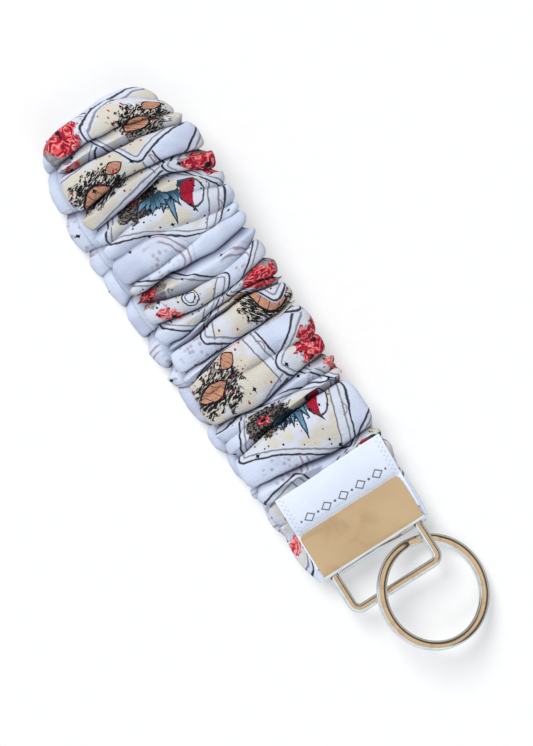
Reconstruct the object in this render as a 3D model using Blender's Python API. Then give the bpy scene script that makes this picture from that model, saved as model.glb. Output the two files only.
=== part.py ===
"""A wrist-strap key fob that lies flat: a gathered fabric sleeve over a flat elastic band, folded into a
loop. Both ends are gripped with a folded satin label in a folded steel clamp. A rectangular wire bail
swings in the clamp's fold and carries a two-turn split ring.

Units are metres. +X runs across the clamp, +Y from the clamp to the loop's far end, and +Z is up.
The origin is on the surface that the fob lies on, under the middle of its outline. All places below
are measured from the middle of the clamp's fold edge, at the clamp's mid-height."""

import math

import bmesh
import bpy
from mathutils import Matrix, Vector

# Where the clamp's fold edge is, from the origin.
FOLD_EDGE = Vector((0.0003, -0.0570, 0.0055))

# Clamp: one plate folded into a U, with a row of teeth inside each lip.
CLAMP_WIDTH = 0.0324
CLAMP_LENGTH = 0.0152
CLAMP_THICKNESS = 0.0058
PLATE = 0.0008
LIP_CORNER_RADIUS = 0.0016
TOOTH_PITCH = 0.0027
TOOTH_DEPTH = 0.0004
TOOTH_ROW_LENGTH = 0.0009
TOOTH_ROW_SET_BACK = 0.0006

# Bail: a closed rectangle of round wire whose inner bar turns in the clamp's fold.
BAIL_WIRE_RADIUS = 0.0013
BAIL_LEG_X = 0.01365
BAIL_BAR_Y = -0.0107
BAIL_OUTER_CORNER = 0.0024
BAIL_INNER_CORNER = 0.0016
BAIL_TILT = math.radians(9.0)
PIVOT_Y = CLAMP_THICKNESS / 2
SLOT_WIDTH = 0.0031
SLOT_HALF_HEIGHT = 0.0023

# Split ring: two turns of flat wire, which step from one layer to the other in a short ramp.
RING_RADIUS = 0.0160
RING_WIRE_WIDTH = 0.0020
RING_WIRE_HEIGHT = 0.00133
RING_PITCH = 0.00142
RING_EDGE = 0.0003
RING_RAMP_MIDDLE = math.radians(67.5)
RING_RAMP_HALF = math.radians(17.5)
RING_CENTRE = Vector((0.00714, -0.0175, 0.00142))
RING_TILT = math.radians(21.0)
RING_HIGH_SIDE = math.radians(187.0)

# Layers between the plates, from the back to the front, inside the clamp.
BACK_SLEEVE_Z = (-0.0020, -0.0005)
FRONT_SLEEVE_Z = (0.0, 0.0015)
BACK_TAIL_Z = (0.00158, 0.00176)
FRONT_TAIL_Z = (0.00184, 0.00202)
SLEEVE_WALL = 0.00035
ENDS_START_Y = 0.0062
ENDS_STOP_Y = 0.0157
ENDS_LEFT_X = -0.0187
ENDS_RIGHT_X = 0.0182
SIDE_BULGE = 0.0011
BITE = 0.74

# Elastic band, wider and thinner where the clamp flattens it.
ELASTIC_WIDTH = 0.025
ELASTIC_GRIPPED = 0.0006
ELASTIC_SHARE = 0.28

# Label: a satin ribbon folded over, with both tails in the clamp.
LABEL_LEFT_X = -0.0166
LABEL_RIGHT_X = 0.0176
LABEL_PLY = 0.0002
LABEL_PLY_GAP = 0.0002
LABEL_TAIL_START_Y = 0.0045
LABEL_ROUTE = ((0.0176, 0.0034), (0.0205, 0.0046), (0.0240, 0.0057), (0.0274, 0.0063))

# Thread.
STITCH_RADIUS = 0.00012
STITCH_Y = 0.0092
STITCH_SWING = 0.0009
STITCH_SPAN = 0.024
STITCH_COUNT = 16
SEAM_RADIUS = 0.0002
SEAM_OFFSET = 0.0134

# The loop's route: (y, z, left edge x, right edge x, thickness), from the front end round to the back.
STRAP_HINGE_Y = 0.0156
FRONT_LAYER = (
    (0.0168, 0.00120, -0.0176, 0.0172, 0.0020),
    (0.0225, 0.00225, -0.0184, 0.0176, 0.0038),
    (0.0300, 0.00290, -0.0186, 0.0176, 0.0052),
    (0.0600, 0.00300, -0.0189, 0.0174, 0.0054),
    (0.0950, 0.00590, -0.0183, 0.0179, 0.0054),
    (0.1230, 0.00790, -0.0184, 0.0190, 0.0054),
)
FAR_FOLD_Y = 0.1395
FAR_FOLD_FRONT = (-0.0178, 0.0158)
FAR_FOLD_MIDDLE = (-0.0172, 0.0112)
FAR_FOLD_BACK = (-0.0206, 0.0136)
FAR_THICKNESS = 0.0054
BACK_LAYER = (
    (0.1230, -0.00268, -0.0232, 0.0138, 0.0054),
    (0.0950, -0.00268, -0.0224, 0.0142, 0.0054),
    (0.0600, -0.00268, -0.0212, 0.0156, 0.0054),
    (0.0300, -0.00268, -0.0194, 0.0166, 0.0052),
    (0.0225, -0.00225, -0.0186, 0.0172, 0.0038),
    (0.0168, -0.00120, -0.0178, 0.0172, 0.0020),
)
CAVITY_HALF_WIDTH = 0.0143
CAVITY_SHARE = 0.36
STEPS_PER_STATION = 4
SECTION_POINTS = 20


def clear_scene():
    for obj in list(bpy.data.objects):
        bpy.data.objects.remove(obj, do_unlink=True)


def make_material(name, color, roughness, metallic=0.0):
    material = bpy.data.materials.new(name)
    material.use_nodes = True
    shader = material.node_tree.nodes["Principled BSDF"]
    shader.inputs["Base Color"].default_value = (*color, 1.0)
    shader.inputs["Roughness"].default_value = roughness
    shader.inputs["Metallic"].default_value = metallic
    material.diffuse_color = (*color, 1.0)
    return material


def make_empty(name, place, parent=None):
    empty = bpy.data.objects.new(name, None)
    bpy.context.scene.collection.objects.link(empty)
    empty.location = place
    empty.parent = parent
    return empty


def make_object(name, shape, parent, material, origin=(0.0, 0.0, 0.0), smooth=True):
    """Turns a bmesh into an object whose own origin is at the given point of its parent's space."""
    bmesh.ops.recalc_face_normals(shape, faces=shape.faces)
    bmesh.ops.translate(shape, verts=shape.verts, vec=-Vector(origin))
    mesh = bpy.data.meshes.new(name)
    shape.to_mesh(mesh)
    shape.free()
    if smooth:
        mesh.shade_smooth()
        mesh.set_sharp_from_angle(angle=math.radians(35.0))
    obj = bpy.data.objects.new(name, mesh)
    bpy.context.scene.collection.objects.link(obj)
    obj.location = origin
    obj.parent = parent
    obj.data.materials.append(material)
    return obj


def hide_helper(obj):
    obj.hide_render = True
    obj.display_type = "WIRE"


def add_boolean(obj, helper, operation):
    hide_helper(helper)
    modifier = obj.modifiers.new(f"{operation.lower()}_{helper.name}", "BOOLEAN")
    modifier.object = helper
    modifier.operation = operation
    modifier.solver = "EXACT"


def add_ring(shape, points):
    return [shape.verts.new(point) for point in points]


def join_rings(shape, first, second):
    count = len(first)
    for i in range(count):
        j = (i + 1) % count
        shape.faces.new((first[i], first[j], second[j], second[i]))


def make_solid_loft(rings, closed=False):
    """A solid whose skin runs through the rings of points. A closed one joins its last ring to its first."""
    shape = bmesh.new()
    made = [add_ring(shape, ring) for ring in rings]
    for first, second in zip(made, made[1:]):
        join_rings(shape, first, second)
    if closed:
        join_rings(shape, made[-1], made[0])
    else:
        shape.faces.new(made[0])
        shape.faces.new(made[-1])
    return shape


def make_tube_loft(outer_rings, inner_rings):
    """A tube that is open at both ends, with a skin inside and outside."""
    shape = bmesh.new()
    outer = [add_ring(shape, ring) for ring in outer_rings]
    inner = [add_ring(shape, ring) for ring in inner_rings]
    for made in (outer, inner):
        for first, second in zip(made, made[1:]):
            join_rings(shape, first, second)
    join_rings(shape, outer[0], inner[0])
    join_rings(shape, outer[-1], inner[-1])
    return shape


def extrude_outline(outline, start, stop, place):
    """Extrudes a flat outline from start to stop. place(a, b, depth) gives each point in space."""
    return make_solid_loft([[place(a, b, depth) for a, b in outline] for depth in (start, stop)])


def along_x(y, z, x):
    return Vector((x, y, z))


def along_y(x, z, y):
    return Vector((x, y, z))


def along_z(x, y, z):
    return Vector((x, y, z))


def arc(centre, radius, start, stop, steps):
    points = []
    for i in range(steps + 1):
        angle = start + (stop - start) * i / steps
        points.append((centre[0] + radius * math.cos(angle), centre[1] + radius * math.sin(angle)))
    return points


# ---------------------------------------------------------------- clamp


def clamp_fold_outline():
    """The U of the folded plate, seen along X."""
    half = CLAMP_THICKNESS / 2
    centre = (half, 0.0)
    up = math.radians(90.0)
    down = math.radians(270.0)
    outline = [(CLAMP_LENGTH, half)]
    outline += arc(centre, half, up, down, 14)
    outline += [(CLAMP_LENGTH, -half), (CLAMP_LENGTH, PLATE - half)]
    outline += arc(centre, half - PLATE, down, up, 14)
    outline += [(CLAMP_LENGTH, half - PLATE)]
    return outline


def clamp_plan_outline():
    """The clamp's outline from above, with its lip corners rounded."""
    half = CLAMP_WIDTH / 2
    radius = LIP_CORNER_RADIUS
    margin = 0.001
    outline = [(half, -margin)]
    outline += arc((half - radius, CLAMP_LENGTH - radius), radius, 0.0, math.radians(90.0), 5)
    outline += arc((radius - half, CLAMP_LENGTH - radius), radius, math.radians(90.0), math.radians(180.0), 5)
    outline += [(-half, -margin)]
    return outline


def tooth_row_outline(side):
    """A strip with saw teeth, seen along Y. side is 1 under the front plate and -1 over the back one."""
    inner = CLAMP_THICKNESS / 2 - PLATE
    count = 2 * round((CLAMP_WIDTH - 4 * LIP_CORNER_RADIUS) / (2 * TOOTH_PITCH))
    start = -count * TOOTH_PITCH / 2
    outline = [(start, side * (inner + PLATE / 2))]
    for i in range(count):
        outline.append((start + i * TOOTH_PITCH, side * inner))
        outline.append((start + (i + 0.5) * TOOTH_PITCH, side * (inner - TOOTH_DEPTH)))
    outline.append((-start, side * inner))
    outline.append((-start, side * (inner + PLATE / 2)))
    return outline


def make_clamp(parent, material):
    half = CLAMP_WIDTH / 2
    fold = extrude_outline(clamp_fold_outline(), -half, half, along_x)
    clamp = make_object("clamp", fold, parent, material)
    row_stop = CLAMP_LENGTH - TOOTH_ROW_SET_BACK
    for side, name in ((1, "front_teeth"), (-1, "back_teeth")):
        row = extrude_outline(tooth_row_outline(side), row_stop - TOOTH_ROW_LENGTH, row_stop, along_y)
        add_boolean(clamp, make_object(name, row, parent, material), "UNION")
    plan = extrude_outline(clamp_plan_outline(), -CLAMP_THICKNESS, CLAMP_THICKNESS, along_z)
    add_boolean(clamp, make_object("clamp_plan", plan, parent, material), "INTERSECT")
    for side, name in ((1, "right_slot"), (-1, "left_slot")):
        near = side * BAIL_LEG_X - SLOT_WIDTH / 2
        opening = [
            (-CLAMP_THICKNESS, -SLOT_HALF_HEIGHT),
            (PIVOT_Y, -SLOT_HALF_HEIGHT),
            (PIVOT_Y, SLOT_HALF_HEIGHT),
            (-CLAMP_THICKNESS, SLOT_HALF_HEIGHT),
        ]
        slot = extrude_outline(opening, near, near + SLOT_WIDTH, along_x)
        add_boolean(clamp, make_object(name, slot, parent, material), "DIFFERENCE")
    return clamp


# ---------------------------------------------------------------- bail and ring


def bail_route():
    """The wire's centre line in the bail's own plane: (x, distance from the pivot), all the way round."""
    far = (PIVOT_Y - BAIL_BAR_Y) / math.cos(BAIL_TILT)
    outer = BAIL_OUTER_CORNER
    inner = BAIL_INNER_CORNER
    right = BAIL_LEG_X
    quarter = math.radians(90.0)
    route = arc((right - outer, far - outer), outer, 0.0, quarter, 5)
    route += arc((outer - right, far - outer), outer, quarter, 2 * quarter, 5)
    route += arc((inner - right, inner), inner, 2 * quarter, 3 * quarter, 4)
    route += arc((right - inner, inner), inner, 3 * quarter, 4 * quarter, 4)
    return route


def wire_rings(route, radius, sides):
    """Round sections along a closed flat route in the XY plane, square to it at each point."""
    rings = []
    count = len(route)
    for i, (x, y) in enumerate(route):
        before = Vector(route[i - 1])
        after = Vector(route[(i + 1) % count])
        here = Vector((x, y))
        along = ((here - before).normalized() + (after - here).normalized()).normalized()
        across = Vector((along.y, -along.x, 0.0))
        ring = []
        for k in range(sides):
            angle = 2 * math.pi * k / sides
            offset = math.cos(angle) * across + math.sin(angle) * Vector((0.0, 0.0, 1.0))
            ring.append(Vector((x, y, 0.0)) + radius * offset)
        rings.append(ring)
    return rings


def make_bail(parent, material):
    """Its own origin is on the pivot. The route's distance runs along -Y and rises by the rest tilt."""
    route = [(x, -distance) for x, distance in bail_route()]
    shape = make_solid_loft(wire_rings(route, BAIL_WIRE_RADIUS, 14), closed=True)
    bail = make_object("bail", shape, parent, material)
    bail.rotation_euler.x = -BAIL_TILT
    return bail


def ring_section():
    """The wire's section: (distance from the wire's middle line outwards, height)."""
    wide = RING_WIRE_WIDTH / 2
    high = RING_WIRE_HEIGHT / 2
    edge = RING_EDGE
    return [
        (wide, edge - high),
        (wide, high - edge),
        (wide - edge, high),
        (edge - wide, high),
        (-wide, high - edge),
        (-wide, edge - high),
        (edge - wide, -high),
        (wide - edge, -high),
    ]


def ring_height(angle):
    """The wire's height at an angle along its two turns: high, then down the ramp, then low."""
    into_ramp = (angle - (RING_RAMP_MIDDLE - RING_RAMP_HALF + 2 * math.pi)) / (2 * RING_RAMP_HALF)
    share = min(max(into_ramp, 0.0), 1.0)
    return RING_PITCH * (0.5 - share * share * (3 - 2 * share))


def make_split_ring(parent, material, bar):
    """Its own origin is on the bail's outer bar, about which it swings."""
    start = RING_RAMP_MIDDLE + RING_RAMP_HALF
    stop = RING_RAMP_MIDDLE - RING_RAMP_HALF + 4 * math.pi
    steps = 112
    middle = RING_RADIUS - RING_WIRE_WIDTH / 2
    rings = []
    for i in range(steps + 1):
        angle = start + (stop - start) * i / steps
        outwards = Vector((math.cos(angle), math.sin(angle), 0.0))
        lift = ring_height(angle)
        rings.append([(middle + a) * outwards + Vector((0, 0, lift + b)) for a, b in ring_section()])
    shape = make_solid_loft(rings)
    across = Vector((-math.sin(RING_HIGH_SIDE), math.cos(RING_HIGH_SIDE), 0.0))
    place = Matrix.Translation(RING_CENTRE) @ Matrix.Rotation(-RING_TILT, 4, across)
    bmesh.ops.transform(shape, matrix=place, verts=shape.verts)
    return make_object("split_ring", shape, parent, material, origin=bar)


# ---------------------------------------------------------------- gripped layers


def bite(y):
    """How far the lips' teeth squeeze the layers together at y, as a share of their height."""
    row = CLAMP_LENGTH - TOOTH_ROW_SET_BACK - TOOTH_ROW_LENGTH / 2
    reach = 2.2 * TOOTH_ROW_LENGTH
    near = min(abs(y - row) / reach, 1.0)
    return BITE + (1.0 - BITE) * max(0.0, near - 0.3) / 0.7


def gripped_stations():
    """Where the gripped layers have a section: close together at the teeth."""
    row = CLAMP_LENGTH - TOOTH_ROW_SET_BACK
    behind_row = row - 2.6 * TOOTH_ROW_LENGTH
    row_start = row - 1.2 * TOOTH_ROW_LENGTH
    return (ENDS_START_Y, behind_row, row_start, row + 0.0002, ENDS_STOP_Y)


def squeezed(x, y, z):
    return Vector((x, y, z * bite(y)))


def sleeve_end_section(low, high, bulge):
    """Outer outline of one gripped sleeve end, seen along Y. Its sides bulge out past the clamp's ends."""
    step = 0.0006
    plate_edge = CLAMP_WIDTH / 2 + 0.0004
    plate_side = CLAMP_WIDTH / 2 + 0.0002
    middle = (low + high) / 2
    low_out = low - max(-bulge, 0.0)
    high_out = high + max(bulge, 0.0)
    return [
        (ENDS_RIGHT_X, middle),
        (ENDS_RIGHT_X - step, high_out),
        (plate_edge, high_out),
        (plate_side, high),
        (-plate_side, high),
        (-plate_edge, high_out),
        (ENDS_LEFT_X + step, high_out),
        (ENDS_LEFT_X, middle),
        (ENDS_LEFT_X + step, low_out),
        (-plate_edge, low_out),
        (-plate_side, low),
        (plate_side, low),
        (plate_edge, low_out),
        (ENDS_RIGHT_X - step, low_out),
    ]


def sleeve_end_cavity(low, high):
    """The flat space for the elastic inside one gripped end, with as many points as the outer outline."""
    wide = CAVITY_HALF_WIDTH
    low += SLEEVE_WALL
    high -= SLEEVE_WALL
    middle = (low + high) / 2
    upper = [(wide * (1 - 2 * i / 5), high) for i in range(6)]
    lower = [(-wide * (1 - 2 * i / 5), low) for i in range(6)]
    return [(wide, middle)] + upper + [(-wide, middle)] + lower


def make_sleeve_end(name, low, high, bulge, parent, material):
    outer = sleeve_end_section(low, high, bulge)
    inner = sleeve_end_cavity(low, high)
    outer_rings = [[squeezed(x, y, z) for x, z in outer] for y in gripped_stations()]
    inner_rings = [[squeezed(x, y, z) for x, z in inner] for y in gripped_stations()]
    return make_object(name, make_tube_loft(outer_rings, inner_rings), parent, material)


def make_flat_strip(name, low, high, left, right, start, parent, material):
    """A flat strip gripped in the clamp, from start to just past the lips."""
    stations = (start,) + gripped_stations()[1:]
    corners = ((right, low), (right, high), (left, high), (left, low))
    rings = [[squeezed(x, y, z) for x, z in corners] for y in stations]
    return make_object(name, make_solid_loft(rings), parent, material, smooth=False)


def make_elastic_end(name, low, high, parent, material):
    middle = (low + high) / 2
    half = ELASTIC_GRIPPED / 2
    side = ELASTIC_WIDTH / 2
    return make_flat_strip(name, middle - half, middle + half, -side, side, ENDS_START_Y, parent, material)


def make_thread(name, points, radius, parent, material, origin=(0.0, 0.0, 0.0)):
    """A thin thread through the points, as a bevelled curve with capped ends."""
    curve = bpy.data.curves.new(name, "CURVE")
    curve.dimensions = "3D"
    curve.bevel_depth = radius
    curve.bevel_resolution = 1
    curve.use_fill_caps = True
    spline = curve.splines.new("POLY")
    spline.points.add(len(points) - 1)
    for point, place in zip(spline.points, points):
        point.co = (*(Vector(place) - Vector(origin)), 1.0)
    thread = bpy.data.objects.new(name, curve)
    bpy.context.scene.collection.objects.link(thread)
    thread.location = origin
    thread.parent = parent
    curve.materials.append(material)
    return thread


def make_end_stitching(parent, material):
    """The zigzag row that holds the two ends together, between them."""
    height = (BACK_SLEEVE_Z[1] + FRONT_SLEEVE_Z[0]) / 2
    points = []
    for i in range(STITCH_COUNT + 1):
        x = STITCH_SPAN * (i / STITCH_COUNT - 0.5)
        points.append((x, STITCH_Y + STITCH_SWING * (-1) ** i, height))
    return make_thread("end_stitching", points, STITCH_RADIUS, parent, material)


# ---------------------------------------------------------------- loop


def loop_stations():
    """Every station of the loop in order, with the round far fold between the two layers."""
    front_z = FRONT_LAYER[-1][1]
    back_z = BACK_LAYER[0][1]
    radius = (front_z - back_z) / 2
    middle_z = (front_z + back_z) / 2
    sides = (FAR_FOLD_FRONT, FAR_FOLD_MIDDLE, FAR_FOLD_BACK)
    fold = []
    for i in range(5):
        angle = math.radians(90.0 - 45.0 * i)
        share = i / 2
        first = sides[int(share)]
        second = sides[min(int(share) + 1, 2)]
        part = share - int(share)
        left = first[0] + (second[0] - first[0]) * part
        right = first[1] + (second[1] - first[1]) * part
        y = FAR_FOLD_Y + radius * math.cos(angle)
        fold.append((y, middle_z + radius * math.sin(angle), left, right, FAR_THICKNESS))
    return [*FRONT_LAYER, *fold, *BACK_LAYER]


def smooth_stations(stations, steps):
    """Catmull-Rom values between the stations, with steps spans between each two."""
    values = []
    last = len(stations) - 1
    for i in range(last):
        before = stations[max(i - 1, 0)]
        after = stations[min(i + 2, last)]
        for k in range(steps):
            t = k / steps
            row = []
            for a, b, c, d in zip(before, stations[i], stations[i + 1], after):
                bend = (2 * a - 5 * b + 4 * c - d) * t * t + (3 * b - a - 3 * c + d) * t**3
                row.append(0.5 * (2 * b + (c - a) * t + bend))
            values.append(row)
    values.append(list(stations[-1]))
    return values


def loop_frames():
    """Each section's (centre, outward normal, half width, thickness) along the loop."""
    rows = smooth_stations(loop_stations(), STEPS_PER_STATION)
    frames = []
    for i, (y, z, left, right, thickness) in enumerate(rows):
        before = rows[max(i - 1, 0)]
        after = rows[min(i + 1, len(rows) - 1)]
        along = Vector((0.0, after[0] - before[0], after[1] - before[1])).normalized()
        outward = Vector((0.0, -along.z, along.y))
        centre = Vector(((left + right) / 2, y, z))
        frames.append((centre, outward, (right - left) / 2, thickness))
    return frames


def signed_power(value, power):
    return math.copysign(abs(value) ** power, value)


def rounded_section(frame, half_width, half_height, squareness):
    centre, outward, _, _ = frame
    points = []
    for k in range(SECTION_POINTS):
        angle = 2 * math.pi * (k + 0.5) / SECTION_POINTS
        x = half_width * signed_power(math.cos(angle), 2 / squareness)
        height = half_height * signed_power(math.sin(angle), 2 / squareness)
        points.append(centre + Vector((x, 0.0, 0.0)) + height * outward)
    return points


def make_sleeve_loop(frames, parent, material, hinge):
    outer = [rounded_section(frame, frame[2], frame[3] / 2, 3.2) for frame in frames]
    inner = [rounded_section(frame, CAVITY_HALF_WIDTH, CAVITY_SHARE * frame[3] / 2, 6.0) for frame in frames]
    return make_object("sleeve_loop", make_tube_loft(outer, inner), parent, material, origin=hinge)


def make_elastic_loop(frames, parent, material, hinge):
    side = ELASTIC_WIDTH / 2
    rings = []
    for centre, outward, _, thickness in frames:
        half = ELASTIC_SHARE * thickness / 2
        corners = ((side, -half), (side, half), (-side, half), (-side, -half))
        rings.append([centre + Vector((x, 0.0, 0.0)) + height * outward for x, height in corners])
    return make_object("elastic_loop", make_solid_loft(rings), parent, material, origin=hinge)


def make_sleeve_seam(frames, parent, material, hinge):
    """The thread of the seam that closes the sleeve, inside it along its left side."""
    points = [centre - Vector((SEAM_OFFSET, 0.0, 0.0)) for centre, _, _, _ in frames]
    return make_thread("sleeve_seam", points, SEAM_RADIUS, parent, material, origin=hinge)


def make_label_flap(parent, material, hinge):
    """The label outside the clamp: two plies with a fold at the far edge, as one thin outline."""
    half = LABEL_PLY + LABEL_PLY_GAP / 2
    gap = LABEL_PLY_GAP / 2
    last_y, last_z = LABEL_ROUTE[-1]
    quarter = math.radians(90.0)
    outline = [(y, z + half) for y, z in LABEL_ROUTE]
    outline += arc((last_y, last_z), half, quarter, -quarter, 6)[1:-1]
    outline += [(y, z - half) for y, z in reversed(LABEL_ROUTE)]
    outline += [(y, z - gap) for y, z in LABEL_ROUTE]
    outline += arc((last_y, last_z), gap, -quarter, quarter, 4)[1:-1]
    outline += [(y, z + gap) for y, z in reversed(LABEL_ROUTE)]
    shape = extrude_outline(outline, LABEL_LEFT_X, LABEL_RIGHT_X, along_x)
    return make_object("label_flap", shape, parent, material, origin=hinge)


# ---------------------------------------------------------------- assembly


def build():
    clear_scene()
    nickel = make_material("polished_nickel", (0.80, 0.76, 0.70), 0.12, 1.0)
    bright_wire = make_material("bright_wire", (0.78, 0.75, 0.71), 0.14, 1.0)
    print_fabric = make_material("print_fabric", (0.80, 0.82, 0.90), 0.75)
    satin = make_material("satin_label", (0.92, 0.93, 0.98), 0.45)
    elastic = make_material("white_elastic", (0.88, 0.88, 0.86), 0.80)
    thread = make_material("thread", (0.90, 0.90, 0.92), 0.70)

    fob = make_empty("fob", FOLD_EDGE)
    make_clamp(fob, nickel)
    make_sleeve_end("sleeve_end_back", *BACK_SLEEVE_Z, -SIDE_BULGE, fob, print_fabric)
    make_sleeve_end("sleeve_end_front", *FRONT_SLEEVE_Z, 0.0, fob, print_fabric)
    make_elastic_end("elastic_end_back", *BACK_SLEEVE_Z, fob, elastic)
    make_elastic_end("elastic_end_front", *FRONT_SLEEVE_Z, fob, elastic)
    sides = (LABEL_LEFT_X, LABEL_RIGHT_X)
    make_flat_strip("label_tail_back", *BACK_TAIL_Z, *sides, LABEL_TAIL_START_Y, fob, satin)
    make_flat_strip("label_tail_front", *FRONT_TAIL_Z, *sides, LABEL_TAIL_START_Y, fob, satin)
    make_end_stitching(fob, thread)

    pivot = make_empty("bail_pivot", (0.0, PIVOT_Y, 0.0), fob)
    make_bail(pivot, bright_wire)
    bar_height = (PIVOT_Y - BAIL_BAR_Y) * math.tan(BAIL_TILT)
    make_split_ring(fob, bright_wire, (0.0, BAIL_BAR_Y, bar_height))

    hinge = (0.0, STRAP_HINGE_Y, 0.0)
    frames = loop_frames()
    make_sleeve_loop(frames, fob, print_fabric, hinge)
    make_elastic_loop(frames, fob, elastic, hinge)
    make_sleeve_seam(frames, fob, thread, hinge)
    make_label_flap(fob, satin, hinge)


build()
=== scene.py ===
import math
import random

import bmesh
import bpy
import numpy as np
from mathutils import Matrix, Vector, noise


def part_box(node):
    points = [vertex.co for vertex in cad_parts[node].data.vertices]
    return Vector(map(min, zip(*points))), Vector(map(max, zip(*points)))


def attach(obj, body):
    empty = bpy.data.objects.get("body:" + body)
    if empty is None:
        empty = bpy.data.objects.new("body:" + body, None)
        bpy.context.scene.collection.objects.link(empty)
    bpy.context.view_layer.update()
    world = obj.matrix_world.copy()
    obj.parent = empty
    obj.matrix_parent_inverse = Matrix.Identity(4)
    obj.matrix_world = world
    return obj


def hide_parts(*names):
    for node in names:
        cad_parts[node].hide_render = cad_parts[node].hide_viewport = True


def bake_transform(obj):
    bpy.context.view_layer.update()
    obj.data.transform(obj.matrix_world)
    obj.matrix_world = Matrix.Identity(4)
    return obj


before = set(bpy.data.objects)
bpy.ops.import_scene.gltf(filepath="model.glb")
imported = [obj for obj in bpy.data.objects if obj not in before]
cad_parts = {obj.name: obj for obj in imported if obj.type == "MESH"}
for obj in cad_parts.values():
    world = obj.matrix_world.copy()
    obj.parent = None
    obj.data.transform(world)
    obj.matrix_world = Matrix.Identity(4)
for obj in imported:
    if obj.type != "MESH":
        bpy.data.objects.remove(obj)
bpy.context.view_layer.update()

MM = 0.001

# Every place below is in millimetres from the middle of the clamp's fold edge, as in the CAD.
clamp_low, clamp_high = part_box("clamp")
FOLD_EDGE = Vector(((clamp_low.x + clamp_high.x) / 2, clamp_low.y, (clamp_low.z + clamp_high.z) / 2))
CLAMP_WIDTH = (clamp_high.x - clamp_low.x) / MM
CLAMP_LENGTH = (clamp_high.y - clamp_low.y) / MM
CLAMP_THICKNESS = (clamp_high.z - clamp_low.z) / MM
FLOOR_HEIGHT = -FOLD_EDGE.z / MM

# Clamp, bail and ring: the CAD's sizes, drawn finely. Only the ring's wire is a little larger.
PLATE = 0.8
LIP_CORNER_RADIUS = 1.6
TOOTH_PITCH = 2.7
TOOTH_DEPTH = 0.4
TOOTH_ROW_LENGTH = 0.9
TOOTH_ROW_SET_BACK = 0.6
PIVOT_Y = CLAMP_THICKNESS / 2
SLOT_WIDTH = 3.1
SLOT_HALF_HEIGHT = 2.3
SLOT_CORNER = 0.7
WORN_EDGE = 0.16
WIRE_SIDES = 28
BAIL_WIRE = 2.6
BAIL_LEG_X = 13.65
BAIL_BAR_Y = -10.7
BAIL_TILT = math.radians(9.0)
BAIL_OUTER_CORNER = 2.4
BAIL_INNER_CORNER = 1.6
RING_MIDDLE_RADIUS = 15.0
RING_STEPS = 320
RING_TAPER_STEPS = 4
RING_WIRE_WIDTH = 2.6
RING_WIRE_HEIGHT = 1.4
RING_PITCH = 1.42
RING_ROUNDNESS = 2.05
RING_RAMP_MIDDLE = math.radians(67.5)
RING_RAMP_HALF = math.radians(17.5)
RING_CENTRE = Vector((7.14, -17.5, 1.42))
RING_TILT = math.radians(21.0)
RING_HIGH_SIDE = math.radians(187.0)

# Strap route: (y, z, left edge x, right edge x, thickness), from the front end round to the back end.
FRONT_ROUTE = (
    (6.4, 0.70, -17.9, 17.5, 1.0),
    (11.0, 0.70, -20.0, 18.0, 1.0),
    (15.3, 0.80, -19.8, 18.0, 1.2),
    (16.8, 1.10, -19.3, 17.7, 2.0),
    (22.5, 2.25, -18.8, 17.6, 3.8),
    (30.0, 2.90, -18.6, 17.6, 5.2),
    (60.0, 3.00, -18.9, 17.4, 5.4),
    (95.0, 5.90, -18.3, 17.9, 5.4),
    (123.0, 7.90, -18.4, 19.0, 5.4),
)
FAR_FOLD_Y = 136.4
FAR_FOLD_SIDES = ((-17.8, 15.8), (-17.2, 11.2), (-20.6, 13.6))
BACK_ROUTE = (
    (123.0, -2.68, -23.2, 13.8, 5.4),
    (95.0, -2.68, -22.4, 14.2, 5.4),
    (60.0, -2.68, -21.2, 15.6, 5.4),
    (30.0, -2.68, -19.4, 16.6, 5.2),
    (22.5, -2.25, -19.3, 17.2, 3.8),
    (16.8, -1.10, -19.2, 17.4, 2.0),
    (15.3, -0.95, -19.6, 17.8, 1.2),
    (11.0, -0.95, -19.8, 17.9, 1.0),
    (6.4, -0.95, -17.9, 17.4, 1.0),
)
MOUTH_Y = CLAMP_LENGTH
ROUTE_STEPS = 10

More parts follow.
